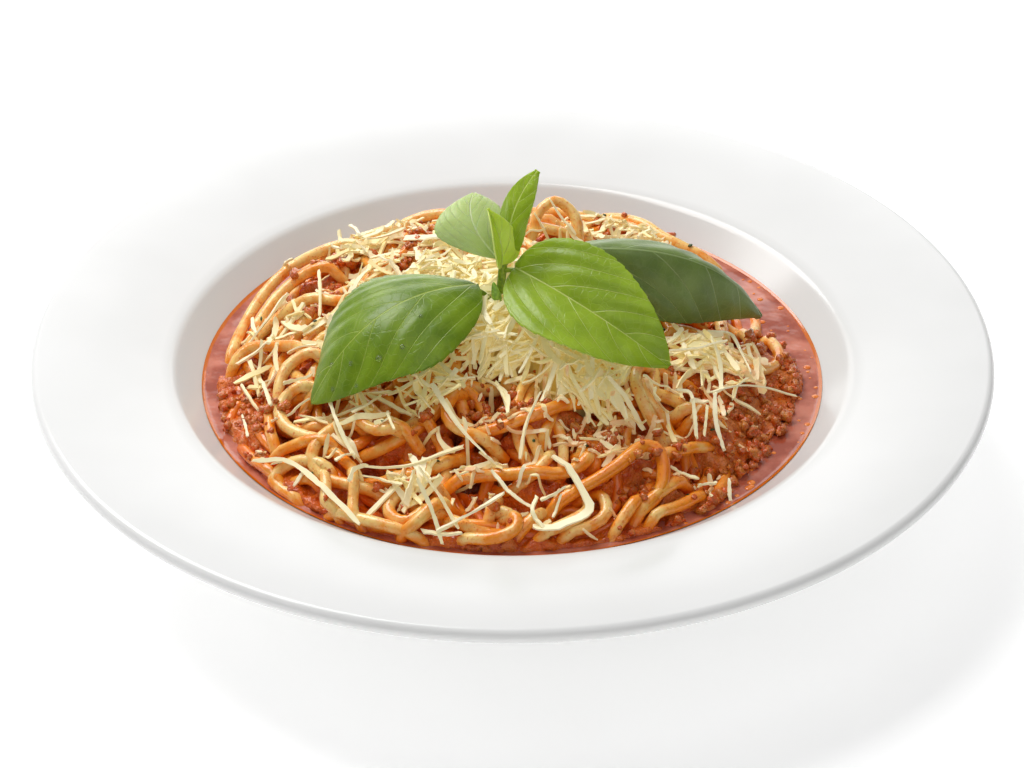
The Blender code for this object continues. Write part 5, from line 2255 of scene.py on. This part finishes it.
    def build_dew(self) -> None:
        """Sets the drops of water on the blades as low domes."""
        bm = bmesh.new()
        for drop in DEW:
            form = LEAVES[drop.leaf]
            middle = form.point(drop.along, drop.across)
            ahead = form.point(drop.along + 0.01, drop.across) - middle
            aside = form.point(drop.along, drop.across + 0.02) - middle
            normal = ahead.cross(aside).normalized()
            if normal.z < 0.0:
                normal = -normal
            turn = normal.to_track_quat("Z", "Y").to_matrix().to_4x4()
            size = Matrix.Diagonal((1.0, 1.0, 0.42, 1.0)) * (drop.radius * MM)
            size[3][3] = 1.0
            place = Matrix.Translation(middle + normal * self.blade_thickness / 2.0) @ turn @ size
            bmesh.ops.create_uvsphere(bm, u_segments=16, v_segments=10, radius=1.0, matrix=place)
        water = PlainFinish("water", "#FFFFFF", "#FAFCFA", 3.0, 0.02, 0.96, 1.33).material()
        add_piece("dew_drops", mesh_from(bm, "dew_drops"), [water], "basil_dark")

    def build(self) -> None:
        """Makes the blades, the stem, the bud and the drops."""
        finishes = {slot: [look.material(side) for side in LeafSide] for slot, look in BLADES.items()}
        for form in LEAVES:
            self.blade(form, finishes[form.look or form.slot])
        self.build_stem()
        self.build_bud()
        self.build_dew()


# ---- the studio
@dataclass(frozen=True)
class SoftLight:
    """A square soft box: where it hangs, what it looks at, its side in metres and its power."""

    name: str
    place: tuple
    target: tuple
    side: float
    watts: float

    def build(self) -> None:
        """Hangs the light."""
        light = bpy.data.lights.new(self.name, "AREA")
        light.shape = "SQUARE"
        light.size = self.side
        light.energy = self.watts
        holder = bpy.data.objects.new(self.name, light)
        holder.location = self.place
        towards = Vector(self.target) - Vector(self.place)
        holder.rotation_euler = towards.to_track_quat("-Z", "Y").to_euler()
        holder.visible_camera = False
        bpy.context.scene.collection.objects.link(holder)


@dataclass
class Studio:
    """A white sweep under soft light, and the camera."""

    lights: tuple = (
        SoftLight("key_from_the_left", (-0.50, 0.55, 1.10), (0.0, 0.0, 0.03), 0.8, 13.3),
        SoftLight("fill_from_the_front", (0.4, -0.8, 1.4), (0.0, 0.0, 0.03), 1.2, 3.6),
        SoftLight("glow_from_the_front", (0.1, -1.4, 0.25), (0.0, 0.0, 0.02), 0.8, 2.2),
        SoftLight("glow_from_the_back", (-0.1, 1.3, 0.35), (0.0, 0.0, 0.05), 0.9, 3.6),
    )
    sky: tuple = (0.045, 0.61)
    bright_side: tuple = (-0.29, 0.62, 0.73)
    camera_place: tuple = (0.0, -0.7558, 0.5286)
    camera_tilt: float = 56.37
    lens: float = 121.48

    def build(self) -> None:
        """Sets up the floor, the lights and the camera."""
        bm = bmesh.new()
        bmesh.ops.create_grid(bm, x_segments=8, y_segments=8, size=4.0)
        paper = PlainFinish("white_paper", "#FDFDFD", "#FBFBFB", 60.0, 0.9, glow=0.35)
        mesh = mesh_from(bm, "studio_floor", outwards=False)
        mesh.materials.append(paper.material())
        floor = bpy.data.objects.new("studio_floor", mesh)
        bpy.context.scene.collection.objects.link(floor)
        for light in self.lights:
            light.build()
        world = bpy.data.worlds.new("studio")
        world.use_nodes = True
        sky = Nodes(world.node_tree)
        aim = sky.add("TexCoord", output="Generated")
        facing = {0: aim, 1: self.bright_side}
        share = sky.add("VectorMath", facing, "Value", operation="DOT_PRODUCT")
        dim, bright = self.sky
        limits = {"Value": share, "From Min": -0.1, "From Max": 1.0, "To Min": dim, "To Max": bright}
        strength = sky.add("MapRange", limits)
        values = {"Color": linear("#FFFFFF"), "Strength": strength}
        sky.fill(world.node_tree.nodes["Background"], values)
        bpy.context.scene.world = world
        bpy.context.scene.view_settings.view_transform = "Standard"
        camera = bpy.data.cameras.new("camera")
        camera.lens = self.lens
        camera.sensor_width = 36.0
        holder = bpy.data.objects.new("camera", camera)
        holder.location = self.camera_place
        holder.rotation_euler = (math.radians(self.camera_tilt), 0.0, 0.0)
        bpy.context.scene.collection.objects.link(holder)
        bpy.context.scene.camera = holder


def main() -> None:
    """Builds the dish in the order in which it is plated."""
    logging.basicConfig(level=logging.INFO, format="%(message)s")
    Studio().build()
    plate = PastaPlate()
    plate.build()
    pool = SaucePool(plate)
    pool.build()
    heap_top = Relief.of_nodes(["spaghetti"], pool.level)
    meat_top = Relief.of_nodes(["meat_sauce"], 0.0)
    outline = Outline("spaghetti")
    heap = NoodleHeap(heap_top, outline, pool.level - pool.depth)
    heap.wind()
    heap.place_by_hand()
    heap.build()
    relief, clear = heap.relief, heap.hand_laid()
    CookedSauceBed(relief, meat_top, outline, clear).build()
    MinceCrumbs(relief, outline, clear).build()
    OilBeads(pool.level, plate.wall_radius(pool.level), meat_top).build()
    GratedCheese(relief, outline).build()
    HerbFlecks(relief, outline).build()
    BasilSprig().build()


if __name__ == "__main__":
    main()
